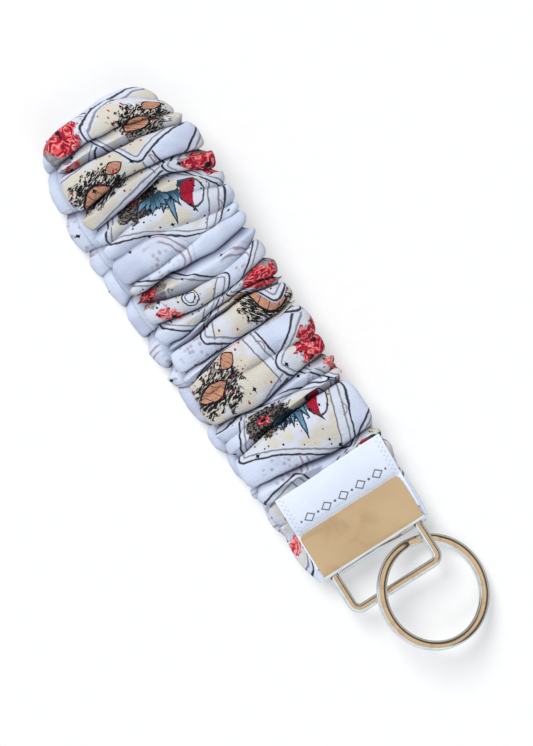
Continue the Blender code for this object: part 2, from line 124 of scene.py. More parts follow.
# Sleeve: the pleats of its front layer, as (y at the left edge, left of the middle, right of the
# middle and at the right edge), (depth at the same four places), and how far the pleat leans up the strap.
PLEATS = (
    ((20.5, 21.0, 21.5, 20.5), (0.5, 0.6, 0.6, 0.5), 0.0),
    ((26.5, 27.0, 26.5, 26.0), (0.5, 0.7, 0.6, 0.5), 0.6),
    ((33.6, 33.2, 30.6, 31.0), (0.6, 1.0, 1.0, 0.6), -2.0),
    ((42.2, 43.2, 44.6, 45.2), (0.5, 1.0, 1.0, 0.9), 2.4),
    ((48.0, 48.6, 49.6, 49.6), (0.3, 0.2, 0.5, 0.6), 1.0),
    ((54.6, 52.8, 54.9, 56.2), (0.9, 1.0, 1.0, 1.0), -2.6),
    ((61.5, 62.0, 61.2, 60.0), (0.2, 0.25, 0.3, 0.3), 0.0),
    ((66.0, 68.6, 68.6, 69.4), (0.7, 1.0, 1.0, 1.0), 2.2),
    ((70.8, 70.9, 70.6, 72.2), (0.7, 0.9, 0.8, 0.8), -1.6),
    ((76.0, 77.0, 78.8, 75.8), (0.8, 0.9, 1.0, 1.0), 2.2),
    ((79.4, 80.6, 82.6, 80.4), (0.8, 0.9, 0.8, 0.9), -1.6),
    ((86.2, 84.4, 84.0, 85.5), (0.9, 0.9, 0.5, 0.7), -1.4),
    ((91.4, 88.6, 88.4, 90.2), (0.9, 0.8, 0.2, 0.7), 1.4),
    ((95.6, 96.0, 95.1, 96.4), (0.9, 1.0, 1.0, 1.0), -2.2),
    ((99.0, 98.6, 100.0, 100.5), (0.6, 0.4, 0.1, 0.4), -1.0),
    ((106.5, 106.8, 104.0, 102.5), (0.5, 0.35, 0.2, 0.5), 0.8),
    ((111.0, 112.5, 112.0, 108.0), (0.6, 0.3, 0.2, 0.5), 0.6),
    ((117.0, 118.8, 120.0, 114.5), (0.8, 1.0, 1.0, 0.8), -2.4),
    ((123.0, 125.2, 123.8, 120.4), (0.9, 1.0, 0.9, 0.9), -2.2),
    ((132.6, 131.0, 129.9, 127.6), (0.8, 1.0, 0.8, 0.6), 2.0),
    ((136.0, 137.2, 135.2, 132.4), (0.7, 0.8, 0.6, 0.4), -1.6),
    ((142.0, 143.0, 141.0, 137.0), (0.5, 0.4, 0.2, 0.3), 1.0),
)
PLEAT_KNOTS = (0.02, 0.17, 0.34, 0.48, 0.62, 0.75, 0.88)
HIDDEN_PLEAT_SPACING = (6.0, 13.0)
LEAST_PLEAT = 1.8
PLEAT_DEPTH = 3.1
PUFF_RISE = 0.24
MOST_PUFF = 1.9
PUFF_ROUNDNESS = 1.45
ROW_SPACING = 1.05
SLEEVE_COLUMNS = 84
SLEEVE_CIRCUMFERENCE = 80.0
SECTION_SQUARENESS = 2.7
SIDE_SCALLOP = 0.072
SIDE_NOTCH = 0.075
NOMINAL_HALF_WIDTH = 18.3
NOMINAL_HALF_THICKNESS = 2.7
SEAM_PLACE = 0.955
SEAM_TUCKS = (2.4, 1.2)
SEAM_PLY_GAP = 0.15
LAYER_GAP = 0.12
LABEL_GAP = 0.45
FLOOR_GAP = 0.25
SIDE_BULGE_START_Y = 1.2
RANDOM_SEED = 11
CLOTH_SCALE = 0.01
CLOTH_HOLD = 0.10
CLOTH_FRAMES = 18
CLOTH_REACH = 1.5
CLOTH_SETTINGS = {
    "quality": 4,
    "mass": 0.15,
    "tension_stiffness": 12.0,
    "compression_stiffness": 12.0,
    "shear_stiffness": 4.0,
    "bending_stiffness": 0.15,
    "vertex_group_mass": "held",
    "pin_stiffness": 1.0,
    "use_pressure": True,
    "uniform_pressure_force": 4.0,
    "shrink_min": -0.12,
}

# Elastic band and label.
ELASTIC_WIDTH = 25.0
ELASTIC_CORDS = 22
LABEL_PLY_GAP = 0.28
LABEL_TAIL_START_Y = 4.8
LABEL_TAIL_LEVEL_Y = 12.0
LABEL_ROUTE = ((15.2, 1.62), (17.6, 2.75), (20.5, 3.85), (24.0, 5.0), (27.3, 5.85))
LABEL_LEFT_X = (-16.75, -16.35)
LABEL_RIGHT_X = (16.7, 17.75)
LABEL_CUT = (0.0344, 0.049)
LABEL_COLUMNS = 72
LABEL_PRINT_V = 33.0
LOZENGE_PITCH = 5.6


def place(x, y, z):
    return FOLD_EDGE + Vector((x, y, z)) * MM


def link(name, data, material=None):
    obj = bpy.data.objects.new(name, data)
    bpy.context.scene.collection.objects.link(obj)
    if material:
        data.materials.append(material)
    return obj


def mesh_from(name, points, faces):
    """A mesh from points in the strap's own millimetres."""
    mesh = bpy.data.meshes.new(name)
    mesh.from_pydata([place(*p) for p in points], [], faces)
    mesh.update()
    return mesh


def grid_faces(rows, columns, closed=False):
    """Quads of a grid of points stored row by row. Closed joins the last column to the first."""
    faces = []
    for row in range(rows - 1):
        for column in range(columns if closed else columns - 1):
            after = (column + 1) % columns
            faces.append((row * columns + column, row * columns + after,
                          (row + 1) * columns + after, (row + 1) * columns + column))
    return faces


def strip_mesh(name, points, widths, lengths):
    """A strip of cloth from rows of points, with its flat place as a UV in millimetres."""
    row_count, column_count, _ = points.shape
    mesh = mesh_from(name, points.reshape(-1, 3), grid_faces(row_count, column_count))
    layer = mesh.uv_layers.new(name="cloth")
    for loop in mesh.loops:
        row, column = divmod(loop.vertex_index, column_count)
        layer.data[loop.index].uv = (widths[column], lengths[row])
    mesh.shade_smooth()
    return mesh


def row_lengths(points):
    """How far along the cloth each row of points lies, as the mean over its columns."""
    return run_of(np.linalg.norm(np.diff(points, axis=0), axis=-1).mean(axis=1))


def apply_modifiers(obj):
    bpy.context.view_layer.update()
    graph = bpy.context.evaluated_depsgraph_get()
    mesh = bpy.data.meshes.new_from_object(obj.evaluated_get(graph), depsgraph=graph)
    obj.modifiers.clear()
    obj.data = mesh


def run_of(steps):
    """The running length after each step, from 0."""
    return np.concatenate([[0.0], np.cumsum(steps)])


def smooth_line(points, steps):
    """Points on a Catmull-Rom curve through the given ones, with this many steps to each span."""
    last = len(points) - 1
    rows = []
    for i in range(last):
        a, b, c, d = points[max(i - 1, 0)], points[i], points[i + 1], points[min(i + 2, last)]
        for k in range(steps):
            t = k / steps
            bend = (2 * a - 5 * b + 4 * c - d) * t * t + (3 * b - a - 3 * c + d) * t**3
            rows.append(0.5 * (2 * b + (c - a) * t + bend))
    rows.append(points[-1])
    return np.array(rows)


def arc(centre, radius, start, stop, steps):
    """Points on an arc between two angles in degrees, both ends included."""
    points = []
    for i in range(steps + 1):
        angle = math.radians(start + (stop - start) * i / steps)
        points.append((centre[0] + radius * math.cos(angle), centre[1] + radius * math.sin(angle)))
    return points


def smoothstep(low, high, value):
    share = np.clip((value - low) / (high - low), 0.0, 1.0)
    return share * share * (3 - 2 * share)


def softly_above(value, floor, width):
    """value, eased so that it stays above floor without ever crossing itself."""
    return floor + width * np.logaddexp(0.0, (value - floor) / width)


# ---- node trees


class Wire:
    """A socket of a node tree. Arithmetic on it adds Math nodes."""

    def __init__(self, tree, socket):
        self.tree = tree
        self.socket = socket

    def math(self, operation, *others):
        node = add_node(self.tree, "Math", dict(enumerate((self, *others))), operation=operation)
        return Wire(self.tree, node.outputs[0])

    def __add__(self, other):
        return self.math("ADD", other)

    def __sub__(self, other):
        return self.math("SUBTRACT", other)

    def __rsub__(self, other):
        return (self * -1.0) + other

    def __mul__(self, other):
        return self.math("MULTIPLY", other)

    __radd__ = __add__
    __rmul__ = __mul__

    def __truediv__(self, other):
        return self.math("DIVIDE", other)

    def least(self, other):
        return self.math("MINIMUM", other)

    def most(self, other):
        return self.math("MAXIMUM", other)

    def size(self):
        return self.math("ABSOLUTE")

    def floor(self):
        return self.math("FLOOR")

    def wave(self):
        return self.math("SINE")

    def step(self, low, high):
        """0 below low, 1 above high, eased between. low may be above high."""
        limits = {"From Min": min(low, high), "From Max": max(low, high)}
        results = {"To Min": float(low > high), "To Max": float(low <= high)}
        inputs = {"Value": self, **limits, **results}
        node = add_node(self.tree, "MapRange", inputs, interpolation_type="SMOOTHSTEP")
        return Wire(self.tree, node.outputs["Result"])

    def line(self, middle, half_width, soft=0.07):
        """1 where this is within half_width of middle."""
        return (self - middle).size().step(half_width + soft, half_width - soft)


def plug(tree, slot, value):
    if isinstance(value, Wire):
        tree.links.new(value.socket, slot)
    elif isinstance(value, (tuple, list)) and slot.type == "RGBA":
        slot.default_value = (*value, 1.0)
    else:
        slot.default_value = value


def plug_all(tree, node, values):
    """Sets or links a node's inputs, given by name or by place."""
    for slot, value in values.items():
        plug(tree, node.inputs[slot], value)


def add_node(tree, kind, inputs, **settings):
    node = tree.nodes.new("ShaderNode" + kind)
    for name, value in settings.items():
        setattr(node, name, value)
    plug_all(tree, node, inputs)
    return node


def length_of(a, b):
    return (a * a + b * b).math("SQRT")


def paint(under, over, mask, blend="MIX"):
    """The colour over laid on the colour under where mask is 1."""
    inputs = {"Factor": mask, 6: under, 7: over}
    node = add_node(mask.tree, "Mix", inputs, data_type="RGBA", blend_type=blend)
    return Wire(mask.tree, node.outputs[2])


def combine(tree, x, y, z=0.0):
    return Wire(tree, add_node(tree, "CombineXYZ", {"X": x, "Y": y, "Z": z}).outputs[0])


def separate(vector):
    node = add_node(vector.tree, "SeparateXYZ", {0: vector})
    return [Wire(vector.tree, output) for output in node.outputs]


def noise_of(vector, scale, detail=2.0, distortion=0.0, rough=0.5):
    """Soft noise from 0 to 1, with about scale lumps to each unit of the vector."""
    inputs = {"Vector": vector, "Scale": scale, "Detail": detail}
    inputs |= {"Roughness": rough, "Distortion": distortion}
    return Wire(vector.tree, add_node(vector.tree, "TexNoise", inputs).outputs[0])


def cells_of(vector, scale):
    """Distance to the nearest cell point, and that cell's random colour."""
    node = add_node(vector.tree, "TexVoronoi", {"Vector": vector, "Scale": scale})
    return Wire(vector.tree, node.outputs["Distance"]), Wire(vector.tree, node.outputs["Color"])


def random_of(vector):
    """Three values from 0 to 1 that are the same wherever the vector is."""
    node = add_node(vector.tree, "TexWhiteNoise", {"Vector": vector})
    return separate(Wire(vector.tree, node.outputs["Color"]))


def texture_place(tree, kind="Object"):
    return Wire(tree, add_node(tree, "TexCoord", {}).outputs[kind])


def new_material(name):
    material = bpy.data.materials.new(name)
    material.use_nodes = True
    return material, material.node_tree, material.node_tree.nodes["Principled BSDF"]


def cloth_material(name):
    """A new material with the cloth's flat place: across, along, and both as one vector, in millimetres."""
    material, tree, shader = new_material(name)
    uv = add_node(tree, "UVMap", {}, uv_map="cloth")
    across, along, _ = separate(Wire(tree, uv.outputs[0]))
    return material, tree, shader, across, along, combine(tree, across, along)


def add_bump(tree, shader, height, strength, distance):
    bump = add_node(tree, "Bump", {"Height": height, "Strength": strength, "Distance": distance})
    plug(tree, shader.inputs["Normal"], Wire(tree, bump.outputs["Normal"]))


# ---- the printed fabric

CARD_HALF_LENGTH = 16.5
CARD_HALF_WIDTH = 10.5
CARD_CORNER = 2.4
CARD_PITCH = 50.0
LATTICE_SHIFTS = ((3.0, 5.0), (28.0, 30.0))

# Cards on the strap's face: (place across the cloth, place along it, turn, kind, which end leads).
# Kind 0 has leaves and a fruit, 1 a ribbed lens, and 2 roses.
FACE_FABRIC_STOP = 192.0
FACE_CARDS = (
    (5.0, 13.0, 0.30, 2, 1.0),
    (47.0, 24.0, 0.55, 0, -1.0),
    (24.0, 43.0, -0.42, 0, 1.0),
    (13.0, 68.0, 0.22, 1, 1.0),
    (45.5, 57.5, -0.95, 2, 1.0),
    (33.0, 89.5, -0.50, 1, -1.0),
    (45.5, 104.0, 0.60, 2, 1.0),
    (12.0, 113.5, -0.62, 2, 1.0),
    (24.6, 145.5, -0.46, 0, 1.0),
    (6.2, 181.0, 0.90, 2, -1.0),
    (14.0, 165.0, 0.12, 1, 1.0),
    (48.0, 161.0, 0.75, 2, 1.0),
    (35.5, 183.0, 0.42, 1, 1.0),
)
FACE_MEDALLIONS = ((15.5, 129.0), (31.0, 112.5), (13.0, 31.0), (38.0, 50.0), (12.0, 88.0))
MEDALLION_REACH = 11.0
STAR_PITCH = 7.5

INK = (0.006, 0.006, 0.009)
SLATE = (0.032, 0.033, 0.048)
SOFT_GREY = (0.170, 0.175, 0.200)
GROUND = (0.575, 0.640, 0.770)
GROUND_SHADE = (0.470, 0.515, 0.650)
CARD_WHITE = (0.555, 0.590, 0.680)
CREAM = (0.560, 0.530, 0.455)
TAUPE = (0.205, 0.172, 0.148)
CRIMSON = (0.330, 0.008, 0.028)
CORAL = (0.660, 0.075, 0.078)
BLUSH = (0.600, 0.330, 0.330)
PEACH = (0.520, 0.240, 0.140)
TEAL = (0.020, 0.062, 0.095)
PALE_BLUE = (0.150, 0.290, 0.420)
ROSE_BROWN = (0.300, 0.205, 0.220)
# Painted shade: the grey-lavender that the print is multiplied by deep in the pleats' hollows.
PAINTED_CREASE_SHADE = (0.190, 0.180, 0.240)


def turned(a, b, angle):
    if not isinstance(angle, Wire):
        return a * math.cos(angle) + b * math.sin(angle), b * math.cos(angle) - a * math.sin(angle)
    cosine = angle.math("COSINE")
    sine = angle.wave()
    return a * cosine + b * sine, b * cosine - a * sine


def cell_place(u, v, pitch, shift):
    """Place in a square cell of the pattern, measured from its middle, and the cell's three random values."""
    cell_u = ((u + shift[0]) / pitch).floor()
    cell_v = ((v + shift[1]) / pitch).floor()
    a = u + shift[0] - (cell_u + 0.5) * pitch
    b = v + shift[1] - (cell_v + 0.5) * pitch
    return a, b, random_of(combine(u.tree, cell_u, cell_v, shift[0]))


def card_edge(a, b):
    """Distance from a card's rounded outline, below 0 inside it."""
    wide = a.size() - (CARD_HALF_LENGTH - CARD_CORNER)
    high = b.size() - (CARD_HALF_WIDTH - CARD_CORNER)
    return length_of(wide.most(0.0), high.most(0.0)) + wide.most(high).least(0.0) - CARD_CORNER


def choose(inside, over, under):
    """The value over where inside is 1, else under."""
    node = add_node(inside.tree, "Mix", {"Factor": inside, 2: under, 3: over}, data_type="FLOAT")
    return Wire(inside.tree, node.outputs[0])


def nearest_card(u, v):
    """The place in the topmost card here, with that card's outline distance, kind and leading end."""
    best = None
    for shift in LATTICE_SHIFTS:
        a, b, (chance, kind, side) = cell_place(u, v, CARD_PITCH, shift)
        a, b = turned(a, b, (chance - 0.5) * 1.2 - 0.3)
        face = v.step(FACE_FABRIC_STOP + 10.0, FACE_FABRIC_STOP) * u.line(24.0, 23.0, 4.0)
        left_edge = u.step(9.0, 6.0) + u.step(68.0, 71.0)
        plain_edge = v.step(FACE_FABRIC_STOP, FACE_FABRIC_STOP + 8.0) * left_edge
        free = (face + plain_edge).least(1.0)
        found = (a, b, card_edge(a, b) + free * 40.0, (kind * 3.0).floor(), (side - 0.5).math("SIGN"))
        best = found if best is None else stacked(found, best)
    for middle_u, middle_v, turn, kind, lead in FACE_CARDS:
        a, b = turned(u - middle_u, v - middle_v, turn)
        best = stacked((a, b, card_edge(a, b), kind, lead), best)
    return best


def stacked(over, under):
    inside = over[2].math("LESS_THAN", 0.35)
    return tuple(choose(inside, *pair) for pair in zip(over, under))


def blob(a, b, middle, wide, high, wobble):
    """1 inside a ragged oval, easing to 0 over its edge."""
    reach = length_of((a - middle[0]) / wide, (b - middle[1]) / high) + wobble
    return reach.step(1.05, 0.95)


def leaf_fan(color, a, b, root, length, spread, span, mask):
    """Long pointed leaves spreading from a root, through the span of angles given as (first, last)."""
    da = a - root[0]
    db = b - root[1]
    reach = length_of(da, db)
    angle = db.math("ARCTAN2", da)
    leaf = angle / spread
    across = (leaf.math("FRACT") - 0.5).size() * spread * reach
    own = random_of(combine(a.tree, leaf.floor(), root[0]))[0] * 0.35 + 0.65
    along = reach / (own * length)
    room = (along.least(1.0).math("POWER", 0.8) * math.pi).wave() * 1.05
    inside = room.least(spread * 0.62 * reach) - across
    shade = paint(TEAL, PALE_BLUE, along.step(0.25, 0.75) * inside.step(0.10, 0.55))
    shade = paint(INK, shade, inside.step(0.03, 0.26))
    shade = paint(shade, INK, across.step(0.12, 0.04) * along.step(0.75, 0.60) * 0.7)
    shown = inside.step(-0.16, -0.04) * along.step(1.02, 0.99) * mask
    shown = shown * angle.step(span[0] - 0.01, span[0] + 0.01) * angle.step(span[1] + 0.01, span[1] - 0.01)
    return paint(color, shade, shown)


def rose(color, a, b, flat, wobble, shown, middle, wide, high, dark, lit):
    """Marbled petals round a black heart, in a ragged oval."""
    mask = blob(a, b, middle, wide, high, wobble) * shown
    reach = length_of(a - middle[0], b - middle[1])
    folds = (noise_of(flat, 0.30, 1.5, 1.8) * 24.0 + reach * 1.4).wave()
    petal = paint(dark, lit, folds.step(-0.35, 0.55))
    petal = paint(petal, BLUSH, folds.step(0.86, 0.97))
    petal = paint(petal, INK, folds.step(-0.90, -0.99) * 0.8)
    petal = paint(petal, INK, reach.step(1.0, 0.6))
    return paint(color, petal, mask)


def two_tone_drop(color, a, b, middle, radius, mask):
    """A round fruit, half in colour and half pale, with a slate outline."""
    da = a - middle[0]
    db = b - middle[1]
    reach = length_of(da, db * 0.74)
    whole = reach.step(radius + 0.10, radius - 0.10) * mask
    color = paint(color, paint(CRIMSON, CARD_WHITE, da.step(0.3, 0.55)), whole)
    return paint(color, SLATE, reach.line(radius, 0.18, 0.12) * mask)


def ribbed_lens(color, a, b, middle, size, mask):
    """A pointed oval of warm colour, crossed by dark ribs and set in a ragged dark halo."""
    da = (a - middle[0]) / size
    db = (b - middle[1]) / size
    lens = db.size() - (2.5 - da * da * 0.15)
    ribs = (da * 1.5 + db * 0.7 + 0.8).wave().size().step(0.16, 0.08)
    color = paint(color, INK, lens.step(0.62, 0.30) * mask)
    skin = paint(PEACH, TAUPE, noise_of(combine(a.tree, a, b), 0.9, 3.0).step(0.42, 0.66) * 0.8)
    return paint(color, paint(skin, INK, ribs), lens.step(-0.02, -0.25) * mask)


def card_art(a, b, edge, kind, lead, flat, wobble):
    """What is drawn on a card: a field, its kind of picture, ink texture, an end panel and frame lines."""
    tree = a.tree
    a = a * lead
    inside = edge.step(-2.0, -2.2)
    leafy = kind.step(0.6, 0.4) * inside
    rosy = kind.step(1.4, 1.6) * inside
    warm = inside - leafy - rosy
    field = noise_of(flat, 0.16, 3.0)
    art = paint(CARD_WHITE, CREAM, (field + warm * 0.12).step(0.44, 0.62) * inside)

    grit = noise_of(flat, 1.5, 3.0, 0.5, 0.7)
    gritty = blob(a, b, (-7.5, 1.5), 6.8, 7.0, wobble * 1.4) * (leafy + rosy * 0.7)
    art = paint(art, paint(TAUPE, INK, grit.step(0.41, 0.54)), gritty)
    hatch = noise_of(combine(tree, a * 0.5 + b * 0.35, b * 1.9 - a * 0.5), 1.1, 3.0, 0.8, 0.6)
    halo = blob(a, b, (-2.0, 0.5), 8.0, 6.0, wobble * 1.6) * warm
    art = paint(art, paint(TAUPE, INK, hatch.step(0.42, 0.51)), halo * hatch.step(0.41, 0.47))
    art = ribbed_lens(art, a, b, (-3.4, 0.6), 1.15, warm)
    art = ribbed_lens(art, a, b, (5.2, 3.6), 0.62, warm)

    dark_heart = blob(a, b, (-0.5, 2.0), 5.6, 4.6, wobble * 1.6) * hatch.step(0.40, 0.50) * leafy
    art = paint(art, INK, dark_heart)
    art = leaf_fan(art, a, b, (1.5, 5.2), 12.0, 0.30, (-2.7, -0.6), leafy)
    art = leaf_fan(art, a, b, (-2.5, 3.6), 9.5, 0.34, (-2.4, -0.34), leafy)
    art = leaf_fan(art, a, b, (3.2, 4.6), 9.0, 0.36, (-0.36, 0.72), leafy)
    art = paint(art, CREAM, blob(a, b, (1.6, 4.9), 3.0, 2.0, wobble * 1.2) * leafy)
    art = two_tone_drop(art, a, b, (8.3, 3.0), 3.1, leafy)

    art = rose(art, a, b, flat, wobble * 1.7, rosy, (-9.0, 1.0), 5.2, 5.8, CRIMSON, CORAL)
    art = rose(art, a, b, flat, wobble * 1.6, rosy, (2.4, -4.6), 4.4, 2.4, CORAL, BLUSH)
    art = rose(art, a, b, flat, wobble * 1.5, leafy, (-9.2, 3.4), 1.9, 1.7, CRIMSON, CORAL)
    rings = length_of(a - 5.6, b - 2.2) + wobble * 1.5
    art = paint(art, SLATE, (rings.line(2.3, 0.2) + rings.line(1.4, 0.16)).least(1.0) * rosy)

    specks, tint = cells_of(flat, 0.60)
    sparse = separate(tint)[0].step(0.45, 0.50)
    art = paint(art, paint(INK, CRIMSON, warm), specks.step(0.22, 0.15) * sparse * inside)

    panel = a.step(12.4, 12.6) * edge.step(-1.0, -1.2)
    art = paint(art, CARD_WHITE, panel)
    crescent = length_of(a - 14.3, b).line(1.5, 0.14) * a.step(14.4, 14.6)
    art = paint(art, ROSE_BROWN, crescent)
    art = paint(art, SOFT_GREY, a.line(12.4, 0.22) * edge.step(-0.9, -1.1))

    art = paint(art, SOFT_GREY, edge.line(-1.60, 0.24, 0.14) * 0.9)
    return paint(art, SLATE, edge.line(-0.15, 0.29, 0.15))


def medallion_mask(a, b, flat):
    """Broken rings about a blotted heart."""
    sway = noise_of(flat, 0.16, 2.0) - 0.5
    reach = length_of(a * 0.9 + sway * 3.0, b * 1.05)
    rings = (reach * 4.2).wave().step(0.0, 0.9) * reach.line(7.2, 1.9, 0.6)
    rings = rings * (a * 0.13 + sway * 2.2 + 0.75).step(0.35, 1.0)
    blots, _ = cells_of(flat, 0.62)
    heart = blots.step(0.44, 0.20) * reach.step(5.4, 4.4) * 0.7
    return (rings + heart).least(1.0)


def medallions(color, u, v, flat):
    """Faint medallions in the ground between the cards."""
    a, b, _ = cell_place(u, v, CARD_PITCH, (24.0, 0.0))
    mask = medallion_mask(a, b, flat) * v.step(FACE_FABRIC_STOP, FACE_FABRIC_STOP + 10.0)
    first, *others = FACE_MEDALLIONS
    nearest = (u - first[0], v - first[1])
    for middle in others:
        here = (u - middle[0], v - middle[1])
        closer = length_of(*here).math("LESS_THAN", MEDALLION_REACH)
        nearest = tuple(choose(closer, *pair) for pair in zip(here, nearest))
    mask = mask.most(medallion_mask(*nearest, flat))
    return paint(color, ROSE_BROWN, mask * 0.85)


def little_stars(color, u, v, shift):
    """Small four-pointed stars scattered over everything."""
    a, b, (chance, where_a, where_b) = cell_place(u, v, STAR_PITCH, shift)
    a = (a + (where_a - 0.5) * 4.5).size()
    b = (b + (where_b - 0.5) * 4.5).size()
    star = (a.math("POWER", 0.6) + b.math("POWER", 0.6)).step(1.02, 0.86)
    return paint(color, INK, star * chance.step(0.55, 0.57))


def printed_fabric():
    material, tree, shader, u, v, flat = cloth_material("print_fabric_gathered")
    wobble = noise_of(flat, 0.45, 3.0, 0.0, 0.6) - 0.5
    u = u + wobble * 0.8
    v = v + (noise_of(flat, 0.40, 2.0, 0.6) - 0.5) * 0.8

    color = paint(GROUND, GROUND_SHADE, noise_of(flat, 0.06, 2.0).step(0.42, 0.68))
    color = medallions(color, u, v, flat)
    a, b, edge, kind, lead = nearest_card(u, v)
    art = card_art(a, b, edge, kind, lead, flat, wobble)
    color = paint(color, art, edge.step(0.34, 0.16))
    color = little_stars(color, u, v, (1.0, 2.0))
    worn = noise_of(flat, 2.6, 3.0, 0.0, 0.7)
    color = paint(color, GROUND, worn.step(0.52, 0.85) * 0.22)
    # Painted shade: the base colour darkens towards grey-lavender where the cloth lies deep in a pleat, as if
    # shade fell there.
    hollow = add_node(tree, "Attribute", {}, attribute_name="hollow")
    shade = Wire(tree, hollow.outputs["Fac"]).step(0.04, 0.70) * 0.94
    plug_all(tree, shader, {
        "Base Color": paint(color, PAINTED_CREASE_SHADE, shade, "MULTIPLY"),
        "Roughness": 0.88,
        "Specular IOR Level": 0.12,
        "Sheen Weight": 0.05,
        "Sheen Roughness": 0.45,
    })
    ribs = (u * (2 * math.pi / 0.62)).wave() * 0.5 + (v * (2 * math.pi / 0.48) + u * 1.6).wave() * 0.35
    fuzz = noise_of(flat, 4.5, 2.0)
    creping = noise_of(combine(tree, u * 0.35, v * 1.2), 0.9, 3.0)
    add_bump(tree, shader, ribs * 0.35 + fuzz * 0.5 + creping * 1.6, 0.5, 0.00022)
    return material


# ---- the other materials


def metal(name, color, smudge_scale, roughness):
    """Polished nickel with faint smudges, fine scratches and a slightly wavy plate."""
    material, tree, shader = new_material(name)
    spot = texture_place(tree)
    smudges = noise_of(spot, smudge_scale, 3.0, 0.6)
    worn = (color[0] * 0.88, color[1] * 0.84, color[2] * 0.80)
    fine = noise_of(spot, smudge_scale * 9.0, 3.0)
    dull = smudges.step(0.48, 0.66) * (fine * 0.5 + 0.5)
    gloss = smudges.step(0.35, 0.80) * 0.10 + roughness
    plug_all(tree, shader, {"Base Color": paint(color, worn, dull), "Roughness": gloss, "Metallic": 1.0})
    x, y, z = separate(spot)
    scratches = noise_of(combine(tree, x * 900.0, y * 9000.0, z * 900.0), 1.0, 2.0)
    swell = noise_of(spot, 160.0, 1.0)
    add_bump(tree, shader, scratches * 0.04 + swell * 1.0, 0.12, 0.00025)
    return material


def satin():
    """White satin ribbon: fine cross ribs, a bright float sheen, and woven picots along both edges."""
    material, tree, shader, u, v, flat = cloth_material("satin_ribbon")
    width = LABEL_CUT[0] / MM
    from_edge = u.least(width - u)
    picots = (v * 4.2).wave().step(0.25, 0.75) * from_edge.line(1.0, 0.28, 0.12)
    picots = picots + (v * 4.2 + 3.1).wave().step(0.25, 0.75) * from_edge.line(1.8, 0.28, 0.12)
    base = paint((0.790, 0.860, 0.970), (0.740, 0.805, 0.930), noise_of(flat, 0.25, 2.0))
    base = paint(base, (0.440, 0.480, 0.600), picots * 0.5)
    base = label_ornament(base, u, v)
    plug_all(tree, shader, {"Base Color": base, "Roughness": 0.42, "Sheen Weight": 0.25, "Anisotropic": 0.4})
    ribs = (v * (2 * math.pi / 0.36)).wave()
    floats = (u * (2 * math.pi / 0.30) + noise_of(flat, 2.0, 1.0) * 2.0).wave()
    ripple = noise_of(combine(tree, u * 0.35, v), 0.55, 2.0)
    add_bump(tree, shader, ribs * 0.20 + floats * 0.10 + ripple * 2.0 + picots * 0.5, 0.35, 0.00020)
    return material


def label_ornament(color, u, v):
    """A plain printed row of lozenges and dots, where such a label carries its print."""
    across = u - LABEL_CUT[0] / MM / 2
    along = (v - LABEL_PRINT_V).size()
    step = ((across / LOZENGE_PITCH + 0.5).math("FRACT") - 0.5).size() * LOZENGE_PITCH
    lozenge = (step * 0.90 + along).line(1.40, 0.24, 0.07)
    dot = length_of(step - LOZENGE_PITCH / 2, along).step(0.46, 0.32)
    mark = (lozenge + dot).least(1.0) * across.size().step(14.2, 14.1)
    return paint(color, (0.040, 0.055, 0.080), mark * 0.9)


def elastic_webbing():
    material, tree, shader, u, v, flat = cloth_material("ribbed_elastic")
    knit = (v * (2 * math.pi / 0.8)).wave() * (u * (2 * math.pi * ELASTIC_CORDS / ELASTIC_WIDTH)).wave()
    shade = paint((0.56, 0.57, 0.58), (0.42, 0.43, 0.45), knit.step(-0.2, 0.9) * noise_of(flat, 2.0))
    plug_all(tree, shader, {"Base Color": shade, "Roughness": 0.8})
    add_bump(tree, shader, knit, 0.5, 0.0002)
    return material


def spun_thread():
    material, tree, shader = new_material("spun_thread")
    spot = texture_place(tree)
    x, y, z = separate(spot)
    twist = ((x + y + z) * 9000.0).wave()
    shade = paint((0.56, 0.57, 0.60), (0.38, 0.39, 0.43), twist.step(-0.5, 0.9))
    plug_all(tree, shader, {"Base Color": shade, "Roughness": 0.6})
    add_bump(tree, shader, twist, 0.4, 0.00005)
    return material


# ---- the strap's route


def route_stations():
    """Every station from the front end round to the back end, with the round far fold between."""
    front_z = FRONT_ROUTE[-1][1]
    back_z = BACK_ROUTE[0][1]
    radius = (front_z - back_z) / 2
    fold = []
    for i in range(5):
        angle = math.radians(90.0 - 45.0 * i)
        first = FAR_FOLD_SIDES[i // 2]
        second = FAR_FOLD_SIDES[min(i // 2 + 1, 2)]
        part = (i % 2) / 2
        left = first[0] + (second[0] - first[0]) * part
        right = first[1] + (second[1] - first[1]) * part
        y = FAR_FOLD_Y + radius * math.cos(angle)
        z = (front_z + back_z) / 2 + radius * math.sin(angle)
        fold.append((y, z, left, right, FRONT_ROUTE[-1][4]))
    return np.array([*FRONT_ROUTE, *fold, *BACK_ROUTE])


def smooth_route():
    """The route's rows, and the distance of each along the strap."""
    rows = smooth_line(route_stations(), ROUTE_STEPS)
    return rows, run_of(np.hypot(np.diff(rows[:, 0]), np.diff(rows[:, 1])))


ROUTE, DISTANCE = smooth_route()
ROUTE_LENGTH = DISTANCE[-1]
HALF_WAY = int(np.argmax(ROUTE[:, 0]))


def route_at(distance):
    """Arrays of y, z, left x, right x and thickness at each distance along the strap."""
    return [np.interp(distance, DISTANCE, ROUTE[:, k]) for k in range(5)]


def front_distance(y):
    return float(np.interp(y, ROUTE[:HALF_WAY, 0], DISTANCE[:HALF_WAY]))


def bent(x, distance, height):
    """Turns (x from the strap's middle, distance along it, height out of it) into places on the route."""
    y, z, left, right, _ = route_at(distance)
    reach = 0.6
    y_after, z_after, *_ = route_at(np.minimum(distance + reach, ROUTE_LENGTH))
    y_before, z_before, *_ = route_at(np.maximum(distance - reach, 0.0))
    along_y = y_after - y_before
    along_z = z_after - z_before
    size = np.hypot(along_y, along_z)
    return (left + right) / 2 + x, y - height * along_z / size, z + height * along_y / size


# ---- gathered sleeve


